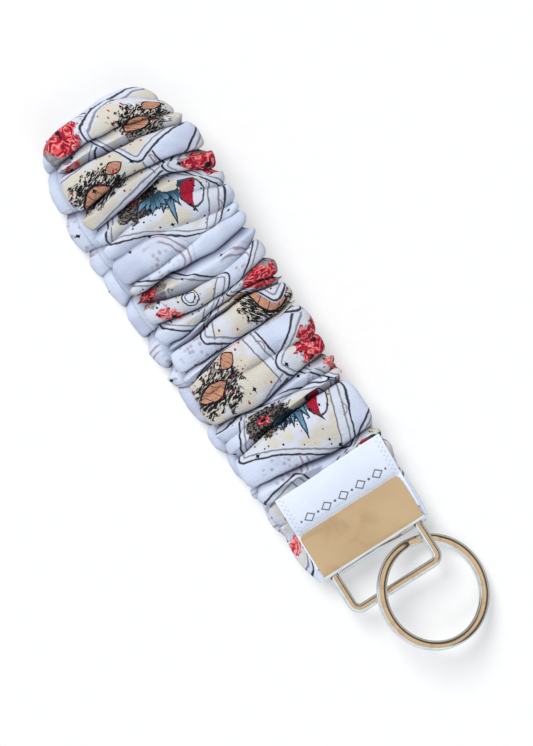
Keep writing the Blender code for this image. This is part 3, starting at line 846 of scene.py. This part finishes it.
def section_lookup():
    """The sleeve's round-sided section: share of the way round from the left edge over the top, x and z."""
    angles = np.linspace(math.pi, -math.pi, 721)
    power = 2 / SECTION_SQUARENESS
    x = NOMINAL_HALF_WIDTH * np.sign(np.cos(angles)) * np.abs(np.cos(angles)) ** power
    z = NOMINAL_HALF_THICKNESS * np.sign(np.sin(angles)) * np.abs(np.sin(angles)) ** power
    run = run_of(np.hypot(np.diff(x), np.diff(z)))
    return run / run[-1], x, z


def pleat_list():
    """Each pleat line as its distances, depths and leans at the knots round the sleeve."""
    chance = random.Random(RANDOM_SEED)
    pleats = []
    for places, depths, lean in PLEATS:
        seen = [front_distance(y) for y in places]
        middle = (seen[0] + seen[3]) / 2
        hidden = [
            seen[3] + chance.uniform(-1, 1),
            middle + chance.uniform(-3, 3),
            seen[0] + chance.uniform(-1, 1),
        ]
        hidden_depths = [chance.uniform(0.4, 1.0) for _ in hidden]
        hidden_leans = [chance.uniform(-2, 2) for _ in hidden]
        pleats.append((seen + hidden, list(depths) + hidden_depths, [lean] * 4 + hidden_leans))
    distance = pleats[-1][0][0] + 8.0
    stop = ROUTE_LENGTH - front_distance(MOUTH_Y + 4)
    while distance < stop:
        shift = [distance + chance.uniform(-2.4, 2.4) for _ in PLEAT_KNOTS]
        depth = [chance.uniform(0.3, 1.0) for _ in PLEAT_KNOTS]
        lean = chance.uniform(-2.4, 2.4)
        pleats.append((shift, depth, [lean] * len(PLEAT_KNOTS)))
        distance += chance.uniform(*HIDDEN_PLEAT_SPACING)
    return pleats


def round_the_sleeve(values, turn):
    """Values at the knots, read all round the sleeve with a smooth join."""
    knots = np.array(PLEAT_KNOTS)
    knots = np.concatenate([knots - 1, knots, knots + 1])
    spread = np.interp(turn, knots, np.tile(values, 3))
    kernel = np.array([1, 4, 6, 4, 1]) / 16
    padded = np.concatenate([spread[-2:], spread, spread[:2]])
    return np.convolve(padded, kernel, mode="valid")


def crooked(turn, number):
    """How far a pleat line strays from its smooth course, round the sleeve."""
    angles = 2 * math.pi * turn
    stray = [noise.noise(Vector((1.9 * math.cos(a), 1.9 * math.sin(a), 2.7 * number))) for a in angles]
    return 0.6 * np.array(stray)


def pleated_sleeve():
    """For each row and column of the sleeve, the distance along the strap, the height out of the plain
    section, and how deep in a pleat the cloth lies."""
    turn = (np.arange(SLEEVE_COLUMNS) / SLEEVE_COLUMNS + SEAM_PLACE) % 1.0
    pleats = pleat_list()
    start = front_distance(MOUTH_Y)
    lines = [np.full(SLEEVE_COLUMNS, 0.0), np.full(SLEEVE_COLUMNS, start)]
    depths = [np.zeros(SLEEVE_COLUMNS), np.full(SLEEVE_COLUMNS, 0.15)]
    leans = [np.zeros(SLEEVE_COLUMNS), np.zeros(SLEEVE_COLUMNS)]
    for number, (places, depth, lean) in enumerate(pleats):
        line = round_the_sleeve(places, turn) + crooked(turn, number)
        lines.append(np.maximum(line, lines[-1] + LEAST_PLEAT))
        depths.append(round_the_sleeve(depth, turn))
        leans.append(round_the_sleeve(lean, turn))
    for distance in (ROUTE_LENGTH - start, ROUTE_LENGTH):
        lines.append(np.full(SLEEVE_COLUMNS, distance))
        depths.append(np.zeros(SLEEVE_COLUMNS))
        leans.append(np.zeros(SLEEVE_COLUMNS))

    chance = random.Random(RANDOM_SEED + 1)
    tops = []
    for first, second in zip(lines, lines[1:]):
        gap = second - first
        swell = round_the_sleeve([chance.uniform(0.75, 1.2) for _ in PLEAT_KNOTS], turn)
        tops.append(np.clip(PUFF_RISE * gap, 0.3, MOST_PUFF) * swell)
    rows = []
    for i, (first, second) in enumerate(zip(lines, lines[1:])):
        gap = second - first
        low_before = np.minimum(tops[i], tops[max(i - 1, 0)]) - PLEAT_DEPTH * depths[i]
        low_after = np.minimum(tops[i], tops[min(i + 1, len(tops) - 1)]) - PLEAT_DEPTH * depths[i + 1]
        count = max(4, round(float(gap.mean()) * 1.5 / ROW_SPACING))
        for k in range(count):
            angle = math.pi * k / count
            rise = math.sin(angle) ** PUFF_ROUNDNESS
            near_first = angle < math.pi / 2
            low = low_before if near_first else low_after
            edge = i if near_first else i + 1
            height = low + (tops[i] - low) * rise
            slide = leans[edge] * depths[edge] * math.sin(2 * angle) ** 2
            slide = np.clip(slide, -0.4 * gap, 0.4 * gap)
            hollow = depths[edge] * (1 - rise) ** 1.6
            rows.append((first + gap * (1 - math.cos(angle)) / 2 + slide, height, hollow))
    rows.append((lines[-1], np.zeros(SLEEVE_COLUMNS), np.zeros(SLEEVE_COLUMNS)))
    return turn, *(np.array([row[k] for row in rows]) for k in range(3))


def fine_wrinkles(x, z, distance):
    """Small creases that run across the strap, in millimetres."""
    values = np.empty(x.size)
    for i, (a, b, c) in enumerate(zip(x.ravel(), z.ravel(), distance.ravel())):
        broad = noise.noise(Vector((a * 0.10, b * 0.25, c * 0.32)))
        narrow = noise.noise(Vector((a * 0.22 + 7.0, b * 0.5, c * 0.75)))
        slanted = noise.noise(Vector(((a + c) * 0.30, b * 0.5, (c - 0.6 * a) * 0.55)))
        values[i] = 0.50 * broad + 0.26 * narrow + 0.16 * slanted
    return values.reshape(x.shape)


def sleeve_points():
    """Places of the sleeve's rows and columns in millimetres."""
    turn, distance, height, hollow = pleated_sleeve()
    steps, section_x, section_z = section_lookup()
    x = np.tile(np.interp(turn, steps, section_x), (len(distance), 1))
    z = np.tile(np.interp(turn, steps, section_z), (len(distance), 1))
    y, _, left, right, thickness = route_at(distance)
    loose = smoothstep(MOUTH_Y, MOUTH_Y + 9.0, y)
    height = (height + fine_wrinkles(x, z, distance)) * (0.06 + 0.94 * loose)

    half_width = (right - left) / 2
    side = smoothstep(0.80, 1.0, np.abs(x) / NOMINAL_HALF_WIDTH)
    height = height * (1 - 0.45 * side)
    scallop = SIDE_SCALLOP * height - SIDE_NOTCH * hollow * loose
    x = x * (half_width / NOMINAL_HALF_WIDTH) * (1 + scallop * side)
    z = z * (thickness / 2 + height) / NOMINAL_HALF_THICKNESS

    # Beside the clamp the sleeve bulges out and reaches further down than between the plates.
    beside = smoothstep(CLAMP_WIDTH / 2 - 0.7, CLAMP_WIDTH / 2 + 0.5, np.abs(x)) * (y < MOUTH_Y)
    z = z * (1 + 0.9 * beside)
    px, py, pz = bent(x, distance, z)
    stretch = (MOUTH_Y - SIDE_BULGE_START_Y) / (MOUTH_Y - FRONT_ROUTE[0][0])
    py = np.where(py < MOUTH_Y, MOUTH_Y - (MOUTH_Y - py) * (1 + (stretch - 1) * beside), py)
    return px, py, pz, distance, hollow * loose


def settled(px, py, pz, distance):
    """The sleeve kept off the floor, its two layers apart, and its front layer under the label."""
    front_z = np.interp(py, ROUTE[:HALF_WAY, 0], ROUTE[:HALF_WAY, 1])
    back_z = np.interp(py, ROUTE[HALF_WAY:, 0][::-1], ROUTE[HALF_WAY:, 1][::-1])
    middle = (front_z + back_z) / 2
    front = distance < DISTANCE[HALF_WAY]
    low = softly_above(pz, middle + LAYER_GAP, LAYER_GAP)
    high = 2 * middle - softly_above(2 * middle - pz, middle + LAYER_GAP, LAYER_GAP)
    flat_part = py < FAR_FOLD_Y - 4.0
    pz = np.where(flat_part, np.where(front, low, high), pz)
    route_y, route_z = np.array(LABEL_ROUTE).T
    under_label = np.interp(py, route_y, route_z) - LABEL_GAP
    covered = front & (py > MOUTH_Y) & (py < route_y[-1] + 1.5)
    pz = np.where(covered, -softly_above(-pz, -under_label, 0.15), pz)
    return np.stack([px, py, softly_above(pz, FLOOR_HEIGHT + FLOOR_GAP, FLOOR_GAP)], -1)


def relaxed(points):
    """The sleeve after a short cloth simulation: air swells it and spare length buckles it, while every
    point is held softly at its place in the pleats and firmly inside the clamp."""
    rows, columns, _ = points.shape
    mesh = bpy.data.meshes.new("sleeve_cloth")
    mesh.from_pydata((points.reshape(-1, 3) * CLOTH_SCALE).tolist(), [], grid_faces(rows, columns))
    mesh.update()
    cloth = link("sleeve_cloth", mesh)
    group = cloth.vertex_groups.new(name="held")
    gripped = (points[..., 1] < MOUTH_Y + 1.0).ravel()
    group.add(np.flatnonzero(gripped).tolist(), 1.0, "REPLACE")
    group.add(np.flatnonzero(~gripped).tolist(), CLOTH_HOLD, "REPLACE")
    modifier = cloth.modifiers.new("cloth", "CLOTH")
    for setting, value in CLOTH_SETTINGS.items():
        setattr(modifier.settings, setting, value)
    modifier.settings.effector_weights.gravity = 0.0
    modifier.collision_settings.use_collision = False
    modifier.point_cache.frame_start = 1
    modifier.point_cache.frame_end = CLOTH_FRAMES
    scene = bpy.context.scene
    for frame_number in range(1, CLOTH_FRAMES + 1):
        scene.frame_set(frame_number)
    apply_modifiers(cloth)
    moved = np.empty(rows * columns * 3)
    cloth.data.vertices.foreach_get("co", moved)
    bpy.data.objects.remove(cloth)
    scene.frame_set(1)
    shift = moved.reshape(points.shape) / CLOTH_SCALE - points
    far = np.linalg.norm(shift, axis=-1, keepdims=True)
    return points + shift / (1 + far / CLOTH_REACH)


def make_sleeve(material):
    px, py, pz, distance, hollow = sleeve_points()
    points = settled(px, py, pz, distance)
    points = settled(*np.moveaxis(relaxed(points), -1, 0), distance)

    # The cut's two long edges meet at the seam and turn inwards as its allowance.
    first = points[:, :1]
    px, py, pz = np.moveaxis(first, -1, 0)
    centre = np.stack([px + 5.0, py, (pz + points[:, SLEEVE_COLUMNS // 2, 2:]) / 2], -1)
    inward = centre - first
    inward /= np.linalg.norm(inward, axis=-1, keepdims=True)
    deep, shallow = (first + inward * reach for reach in SEAM_TUCKS)
    other_side = [first, shallow + SEAM_PLY_GAP, deep + SEAM_PLY_GAP]
    points = np.concatenate([deep, shallow, points, *other_side], axis=1)

    widths = (np.arange(points.shape[1]) - 2) * SLEEVE_CIRCUMFERENCE / SLEEVE_COLUMNS
    mesh = strip_mesh("sleeve", points, widths, row_lengths(points))
    # How deep each point lies in a pleat, kept on the mesh; the print material uses it to paint shade into
    # the creases.
    shade = mesh.attributes.new("hollow", "FLOAT", "POINT")
    shade.data.foreach_set("value", np.pad(hollow, ((0, 0), (2, 3)), mode="edge").ravel())
    sleeve = link("sleeve", mesh, material)
    finer = sleeve.modifiers.new("finer", "SUBSURF")
    finer.levels = 1
    finer.render_levels = 1
    apply_modifiers(sleeve)
    return sleeve


# ---- elastic and label


def make_elastic(material):
    columns = 2 * ELASTIC_CORDS + 1
    across = np.linspace(-ELASTIC_WIDTH / 2, ELASTIC_WIDTH / 2, columns)
    distance = np.arange(0.0, ROUTE_LENGTH, 1.0)
    grid_distance, grid_x = np.meshgrid(distance, across, indexing="ij")
    ribs = 0.12 * np.cos(math.pi * np.arange(columns)) * np.ones_like(grid_x)
    px, py, pz = bent(grid_x, grid_distance, ribs)
    px = grid_x + 0.15 * (px - grid_x)
    points = np.stack([px, py, pz], -1)
    mesh = strip_mesh("elastic_band", points, across + ELASTIC_WIDTH / 2, distance)
    return link("elastic_band", mesh, material)


def label_path():
    """The ribbon's line seen along X, from its back tail round the fold to its front tail: (y, z)."""
    start_z = LABEL_ROUTE[0][1]
    route = np.array([(LABEL_TAIL_START_Y, start_z), (LABEL_TAIL_LEVEL_Y, start_z), *LABEL_ROUTE])
    smooth = smooth_line(route, ROUTE_STEPS)
    gap = LABEL_PLY_GAP / 2
    lower = [(y, z - gap) for y, z in smooth]
    fold = arc(LABEL_ROUTE[-1], gap, -67.5, 67.5, 6)
    upper = [(y, z + gap + 0.25 * bow(y)) for y, z in reversed(smooth)]
    return lower + fold + upper


def bow(y):
    """How much the upper ply stands off the lower one, from the clamp's mouth to the fold."""
    share = min(max((y - MOUTH_Y) / (LABEL_ROUTE[-1][0] - MOUTH_Y), 0.0), 1.0)
    return math.sin(math.pi * share)


def make_label(material):
    path = label_path()
    shares = np.linspace(0.0, 1.0, LABEL_COLUMNS + 1)
    rows = []
    for y, z in path:
        flap = min(max((y - 2.0) / (LABEL_ROUTE[-1][0] - 2.0), 0.0), 1.0)
        left = LABEL_LEFT_X[0] + (LABEL_LEFT_X[1] - LABEL_LEFT_X[0]) * flap
        right = LABEL_RIGHT_X[0] + (LABEL_RIGHT_X[1] - LABEL_RIGHT_X[0]) * flap
        x = left + (right - left) * shares
        out = max((y - MOUTH_Y - 1.0) / (LABEL_ROUTE[-1][0] - MOUTH_Y), 0.0)
        wave = 0.22 * np.sin(x * 0.21 + 0.6) + 0.12 * np.sin(x * 0.47 + y * 0.2)
        droop = -0.35 * (np.abs(x) / 17.0) ** 4
        curl = 0.25 * np.sin(x * 0.12)
        rows.append(np.stack([x, np.full_like(x, y) + curl * out, z + (wave + droop) * out], -1))
    points = np.array(rows)
    mesh = strip_mesh("woven_label", points, shares * LABEL_CUT[0] / MM, row_lengths(points))
    return link("woven_label", mesh, material)


# ---- metal


def prism(name, outline, start, stop, axes):
    """An outline extruded from start to stop. axes puts (first, second, along) in x, y and z order."""
    shape = bmesh.new()
    rings = []
    for along in (start, stop):
        rings.append([shape.verts.new(place(*axes(a, b, along))) for a, b in outline])
    count = len(outline)
    for i in range(count):
        after = (i + 1) % count
        shape.faces.new((rings[0][i], rings[0][after], rings[1][after], rings[1][i]))
    shape.faces.new(rings[0])
    shape.faces.new(rings[1])
    bmesh.ops.recalc_face_normals(shape, faces=shape.faces)
    mesh = bpy.data.meshes.new(name)
    shape.to_mesh(mesh)
    shape.free()
    return link(name, mesh)


def cut(obj, helper, operation):
    boolean = obj.modifiers.new(helper.name, "BOOLEAN")
    boolean.object = helper
    boolean.operation = operation
    boolean.solver = "EXACT"


def clamp_fold_outline():
    half = CLAMP_THICKNESS / 2
    outline = [(CLAMP_LENGTH, half)]
    outline += arc((half, 0.0), half, 90, 270, 32)
    outline += [(CLAMP_LENGTH, -half), (CLAMP_LENGTH, PLATE - half)]
    outline += arc((half, 0.0), half - PLATE, 270, 90, 24)
    outline += [(CLAMP_LENGTH, half - PLATE)]
    return outline


def clamp_plan_outline():
    half = CLAMP_WIDTH / 2
    radius = LIP_CORNER_RADIUS
    outline = [(half, -1.0)]
    outline += arc((half - radius, CLAMP_LENGTH - radius), radius, 0, 90, 14)
    outline += arc((radius - half, CLAMP_LENGTH - radius), radius, 90, 180, 14)
    outline += [(-half, -1.0)]
    return outline


def tooth_row_outline(side):
    inner = CLAMP_THICKNESS / 2 - PLATE
    count = 2 * round((CLAMP_WIDTH - 4 * LIP_CORNER_RADIUS) / (2 * TOOTH_PITCH))
    start = -count * TOOTH_PITCH / 2
    outline = [(start, side * (inner + PLATE / 2))]
    for i in range(count):
        outline.append((start + i * TOOTH_PITCH, side * inner))
        outline.append((start + (i + 0.5) * TOOTH_PITCH, side * (inner - TOOTH_DEPTH)))
    outline.append((-start, side * inner))
    outline.append((-start, side * (inner + PLATE / 2)))
    return outline


def make_clamp(material):
    half = CLAMP_WIDTH / 2
    clamp = prism("folded_clamp", clamp_fold_outline(), -half, half, lambda y, z, x: (x, y, z))
    helpers = []
    row_stop = CLAMP_LENGTH - TOOTH_ROW_SET_BACK
    for side, name in ((1, "front_teeth"), (-1, "back_teeth")):
        outline = tooth_row_outline(side)
        row = prism(name, outline, row_stop - TOOTH_ROW_LENGTH, row_stop, lambda x, z, y: (x, y, z))
        cut(clamp, row, "UNION")
        helpers.append(row)
    outline = clamp_plan_outline()
    plan = prism("clamp_plan", outline, -CLAMP_THICKNESS, CLAMP_THICKNESS, lambda x, y, z: (x, y, z))
    cut(clamp, plan, "INTERSECT")
    helpers.append(plan)
    corner = SLOT_CORNER
    tall = SLOT_HALF_HEIGHT
    opening = [(-CLAMP_THICKNESS, -tall)]
    opening += arc((PIVOT_Y - corner, corner - tall), corner, -90, 0, 6)
    opening += arc((PIVOT_Y - corner, tall - corner), corner, 0, 90, 6)
    opening += [(-CLAMP_THICKNESS, tall)]
    for side, name in ((1, "right_slot"), (-1, "left_slot")):
        near = side * BAIL_LEG_X - SLOT_WIDTH / 2
        slot = prism(name, opening, near, near + SLOT_WIDTH, lambda y, z, x: (x, y, z))
        cut(clamp, slot, "DIFFERENCE")
        helpers.append(slot)
    bevel = clamp.modifiers.new("worn_edges", "BEVEL")
    bevel.width = WORN_EDGE * MM
    bevel.segments = 3
    bevel.limit_method = "ANGLE"
    bevel.angle_limit = math.radians(40.0)
    apply_modifiers(clamp)
    for helper in helpers:
        bpy.data.objects.remove(helper)
    clamp.data.materials.clear()
    clamp.data.materials.append(material)
    clamp.data.shade_smooth()
    clamp.data.set_sharp_from_angle(angle=math.radians(38.0))
    return clamp


def sweep(name, rings, closed, material):
    """A tube through rings of points in millimetres."""
    columns = len(rings[0])
    if closed:
        rings = rings + rings[:1]
    points = [p for ring in rings for p in ring]
    faces = grid_faces(len(rings), columns, closed=True)
    if not closed:
        last = (len(rings) - 1) * columns
        faces.append(tuple(range(columns)))
        faces.append(tuple(last + i for i in reversed(range(columns))))
    mesh = mesh_from(name, points, faces)
    shape = bmesh.new()
    shape.from_mesh(mesh)
    bmesh.ops.remove_doubles(shape, verts=shape.verts, dist=1e-7)
    bmesh.ops.recalc_face_normals(shape, faces=shape.faces)
    shape.to_mesh(mesh)
    shape.free()
    mesh.shade_smooth()
    mesh.set_sharp_from_angle(angle=math.radians(50.0))
    return link(name, mesh, material)


def straight(first, second, steps):
    """Points on a straight line between two others, without its ends."""
    return [tuple(Vector(first).lerp(Vector(second), i / steps)) for i in range(1, steps)]


def wire_section(width, height, roundness):
    """Points round a wire's oval section: (outwards, up)."""
    section = []
    for i in range(WIRE_SIDES):
        angle = 2 * math.pi * i / WIRE_SIDES
        out = math.copysign(abs(math.cos(angle)) ** (2 / roundness), math.cos(angle))
        up = math.copysign(abs(math.sin(angle)) ** (2 / roundness), math.sin(angle))
        section.append((out * width / 2, up * height / 2))
    return section


def bail_route():
    """The wire's line in the bail's own plane: (x, distance from the pivot), all the way round."""
    far = (PIVOT_Y - BAIL_BAR_Y) / math.cos(BAIL_TILT)
    outer = BAIL_OUTER_CORNER
    inner = BAIL_INNER_CORNER
    right = BAIL_LEG_X
    corners = [
        arc((right - outer, far - outer), outer, 0, 90, 12),
        arc((outer - right, far - outer), outer, 90, 180, 12),
        arc((inner - right, inner), inner, 180, 270, 10),
        arc((right - inner, inner), inner, 270, 360, 10),
    ]
    route = []
    for i, corner in enumerate(corners):
        route += corner
        route += straight(corner[-1], corners[(i + 1) % 4][0], 12)
    return route


def make_bail(material):
    route = bail_route()
    count = len(route)
    section = wire_section(BAIL_WIRE, BAIL_WIRE, 2.0)
    rings = []
    for i, (x, distance) in enumerate(route):
        before = Vector(route[i - 1])
        after = Vector(route[(i + 1) % count])
        along = (after - before).normalized()
        ring = []
        for sideways, up in section:
            flat = Vector((x + sideways * along.y, distance - sideways * along.x))
            ring.append((flat.x,
                         PIVOT_Y - flat.y * math.cos(BAIL_TILT) + up * math.sin(BAIL_TILT),
                         flat.y * math.sin(BAIL_TILT) + up * math.cos(BAIL_TILT)))
        rings.append(ring)
    return sweep("wire_bail", rings, True, material)


def ring_height(angle):
    """The wire's height at an angle along its two turns: high, then down the ramp, then low."""
    into_ramp = (angle - (RING_RAMP_MIDDLE - RING_RAMP_HALF + 2 * math.pi)) / (2 * RING_RAMP_HALF)
    share = min(max(into_ramp, 0.0), 1.0)
    return RING_PITCH * (0.5 - share * share * (3 - 2 * share))


def make_ring(material):
    start = RING_RAMP_MIDDLE + RING_RAMP_HALF
    stop = RING_RAMP_MIDDLE - RING_RAMP_HALF + 4 * math.pi
    across = Vector((-math.sin(RING_HIGH_SIDE), math.cos(RING_HIGH_SIDE), 0.0))
    tilt = Matrix.Translation(RING_CENTRE) @ Matrix.Rotation(-RING_TILT, 4, across)
    section = wire_section(RING_WIRE_WIDTH, RING_WIRE_HEIGHT, RING_ROUNDNESS)
    rings = []
    for i in range(RING_STEPS + 1):
        angle = start + (stop - start) * i / RING_STEPS
        outwards = Vector((math.cos(angle), math.sin(angle), 0.0))
        lift = ring_height(angle)
        end = min(i, RING_STEPS - i, RING_TAPER_STEPS) / RING_TAPER_STEPS
        keep = 0.80 + 0.20 * math.sqrt(1 - (1 - end) ** 2)
        ring = []
        for out, up in section:
            point = (RING_MIDDLE_RADIUS + keep * out) * outwards + Vector((0.0, 0.0, lift + keep * up))
            ring.append(tuple(tilt @ point))
        rings.append(ring)
    return sweep("coiled_ring", rings, False, material)


# ---- floor, light and camera

PHOTO_TURN = math.radians(-32.4)
FRAME_HEIGHT = 0.2065
FRAME_MIDDLE = (0.0009, 0.0012)
LENS = 135.0
SENSOR = 36.0
FLOOR_HALF_SIZE = 3.0
FLOOR_GLOW = 0.44
SKY_LIGHT = (0.335, 0.352, 0.392)
BACKDROP = (0.99, 0.99, 0.99)
LIGHT_SPREAD = 34.0


def make_floor():
    mesh = bpy.data.meshes.new("floor")
    size = FLOOR_HALF_SIZE
    corners = [(-size, -size, 0), (size, -size, 0), (size, size, 0), (-size, size, 0)]
    mesh.from_pydata(corners, [], [(0, 1, 2, 3)])
    material, tree, shader = new_material("paper_floor")
    grain = noise_of(texture_place(tree), 300.0, 2.0)
    plug_all(tree, shader, {
        "Base Color": paint((0.44, 0.44, 0.438), (0.47, 0.47, 0.468), grain),
        "Roughness": 0.9,
        "Specular IOR Level": 0.1,
        "Emission Color": (1.0, 1.0, 1.0),
        "Emission Strength": FLOOR_GLOW,
    })
    floor = link("floor", mesh, material)
    floor.visible_glossy = False


def make_world():
    """Pale all round for the soft light. The metal mirrors warm above, white in front and dark behind."""
    world = bpy.data.worlds.new("studio")
    world.use_nodes = True
    bpy.context.scene.world = world
    tree = world.node_tree
    background = tree.nodes["Background"]
    x, y, z = separate(texture_place(tree, "Generated"))
    toward = x * -0.85 + y * -0.53
    sides = paint((0.10, 0.075, 0.06), (0.92, 1.06, 1.20), toward.step(-0.20, 0.20))
    cloudy = noise_of(combine(tree, x, y, z), 3.0, 2.0)
    overhead = paint((0.66, 0.485, 0.305), (0.80, 0.615, 0.40), cloudy.step(0.35, 0.65))
    below = paint((0.50, 0.49, 0.48), (0.72, 0.86, 1.00), toward.step(-0.30, 0.30))
    below = paint((0.30, 0.31, 0.33), below, z.step(-0.97, -0.78))
    sides = paint(below, sides, z.step(0.28, 0.38))
    ceiling = paint(sides, overhead, z.step(0.66, 0.74))
    path = add_node(tree, "LightPath", {})
    color = paint(SKY_LIGHT, ceiling, Wire(tree, path.outputs["Is Glossy Ray"]))
    color = paint(color, BACKDROP, Wire(tree, path.outputs["Is Camera Ray"]))
    plug_all(tree, background, {"Color": color, "Strength": 1.0})


def make_light(name, toward, strength, color):
    """A large soft light far away in the direction toward, which lights the floor evenly."""
    light = bpy.data.lights.new(name, "SUN")
    light.angle = math.radians(LIGHT_SPREAD)
    light.energy = strength
    light.color = color
    obj = link(name, light)
    obj.location = toward
    obj.rotation_euler = (-toward).to_track_quat("-Z", "Y").to_euler()
    obj.visible_glossy = False


def make_camera():
    camera = bpy.data.cameras.new("camera")
    camera.lens = LENS
    camera.sensor_width = SENSOR
    camera.clip_start = 0.01
    camera.clip_end = 20.0
    obj = link("camera", camera)
    distance = FRAME_HEIGHT / 2 * LENS / (SENSOR / 2)
    obj.location = (*FRAME_MIDDLE, FOLD_EDGE.z + distance)
    obj.rotation_euler = (0.0, 0.0, PHOTO_TURN)
    bpy.context.scene.camera = obj


def make_studio():
    make_floor()
    make_world()
    left = Vector((-math.cos(PHOTO_TURN), -math.sin(PHOTO_TURN), 0.0))
    up = Vector((-math.sin(PHOTO_TURN), math.cos(PHOTO_TURN), 0.0))
    make_light("key", 0.37 * left + 0.43 * up + Vector((0, 0, 0.62)), 3.02, (1.0, 0.985, 0.96))
    make_light("fill", -0.30 * left - 0.50 * up + Vector((0, 0, 0.80)), 0.76, (0.93, 0.96, 1.0))
    make_camera()
    bpy.context.scene.view_settings.view_transform = "Standard"


# ---- assembly


def across_mouth(piece):
    """Bakes a soft piece's placement into its mesh."""
    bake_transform(piece)


def build():
    nickel = metal("polished_nickel_plate", (0.80, 0.765, 0.715), 95.0, 0.10)
    wire = metal("bright_nickel_wire", (0.83, 0.81, 0.775), 420.0, 0.10)
    print_material = printed_fabric()

    clamp = make_clamp(nickel)
    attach(clamp, "clamp")
    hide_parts("clamp")
    bail = make_bail(wire)
    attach(bail, "bail")
    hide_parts("bail")
    ring = make_ring(wire)
    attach(ring, "ring")
    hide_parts("split_ring")

    sleeve = make_sleeve(print_material)
    across_mouth(sleeve)
    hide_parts("sleeve_loop", "sleeve_end_front", "sleeve_end_back")

    elastic = make_elastic(elastic_webbing())
    across_mouth(elastic)
    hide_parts("elastic_loop", "elastic_end_front", "elastic_end_back")

    label = make_label(satin())
    across_mouth(label)
    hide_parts("label_flap", "label_tail_front", "label_tail_back")

    thread = spun_thread()
    for name in ("sleeve_seam", "end_stitching"):
        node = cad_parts[name]
        node.data.materials.clear()
        node.data.materials.append(thread)

    make_studio()


build()
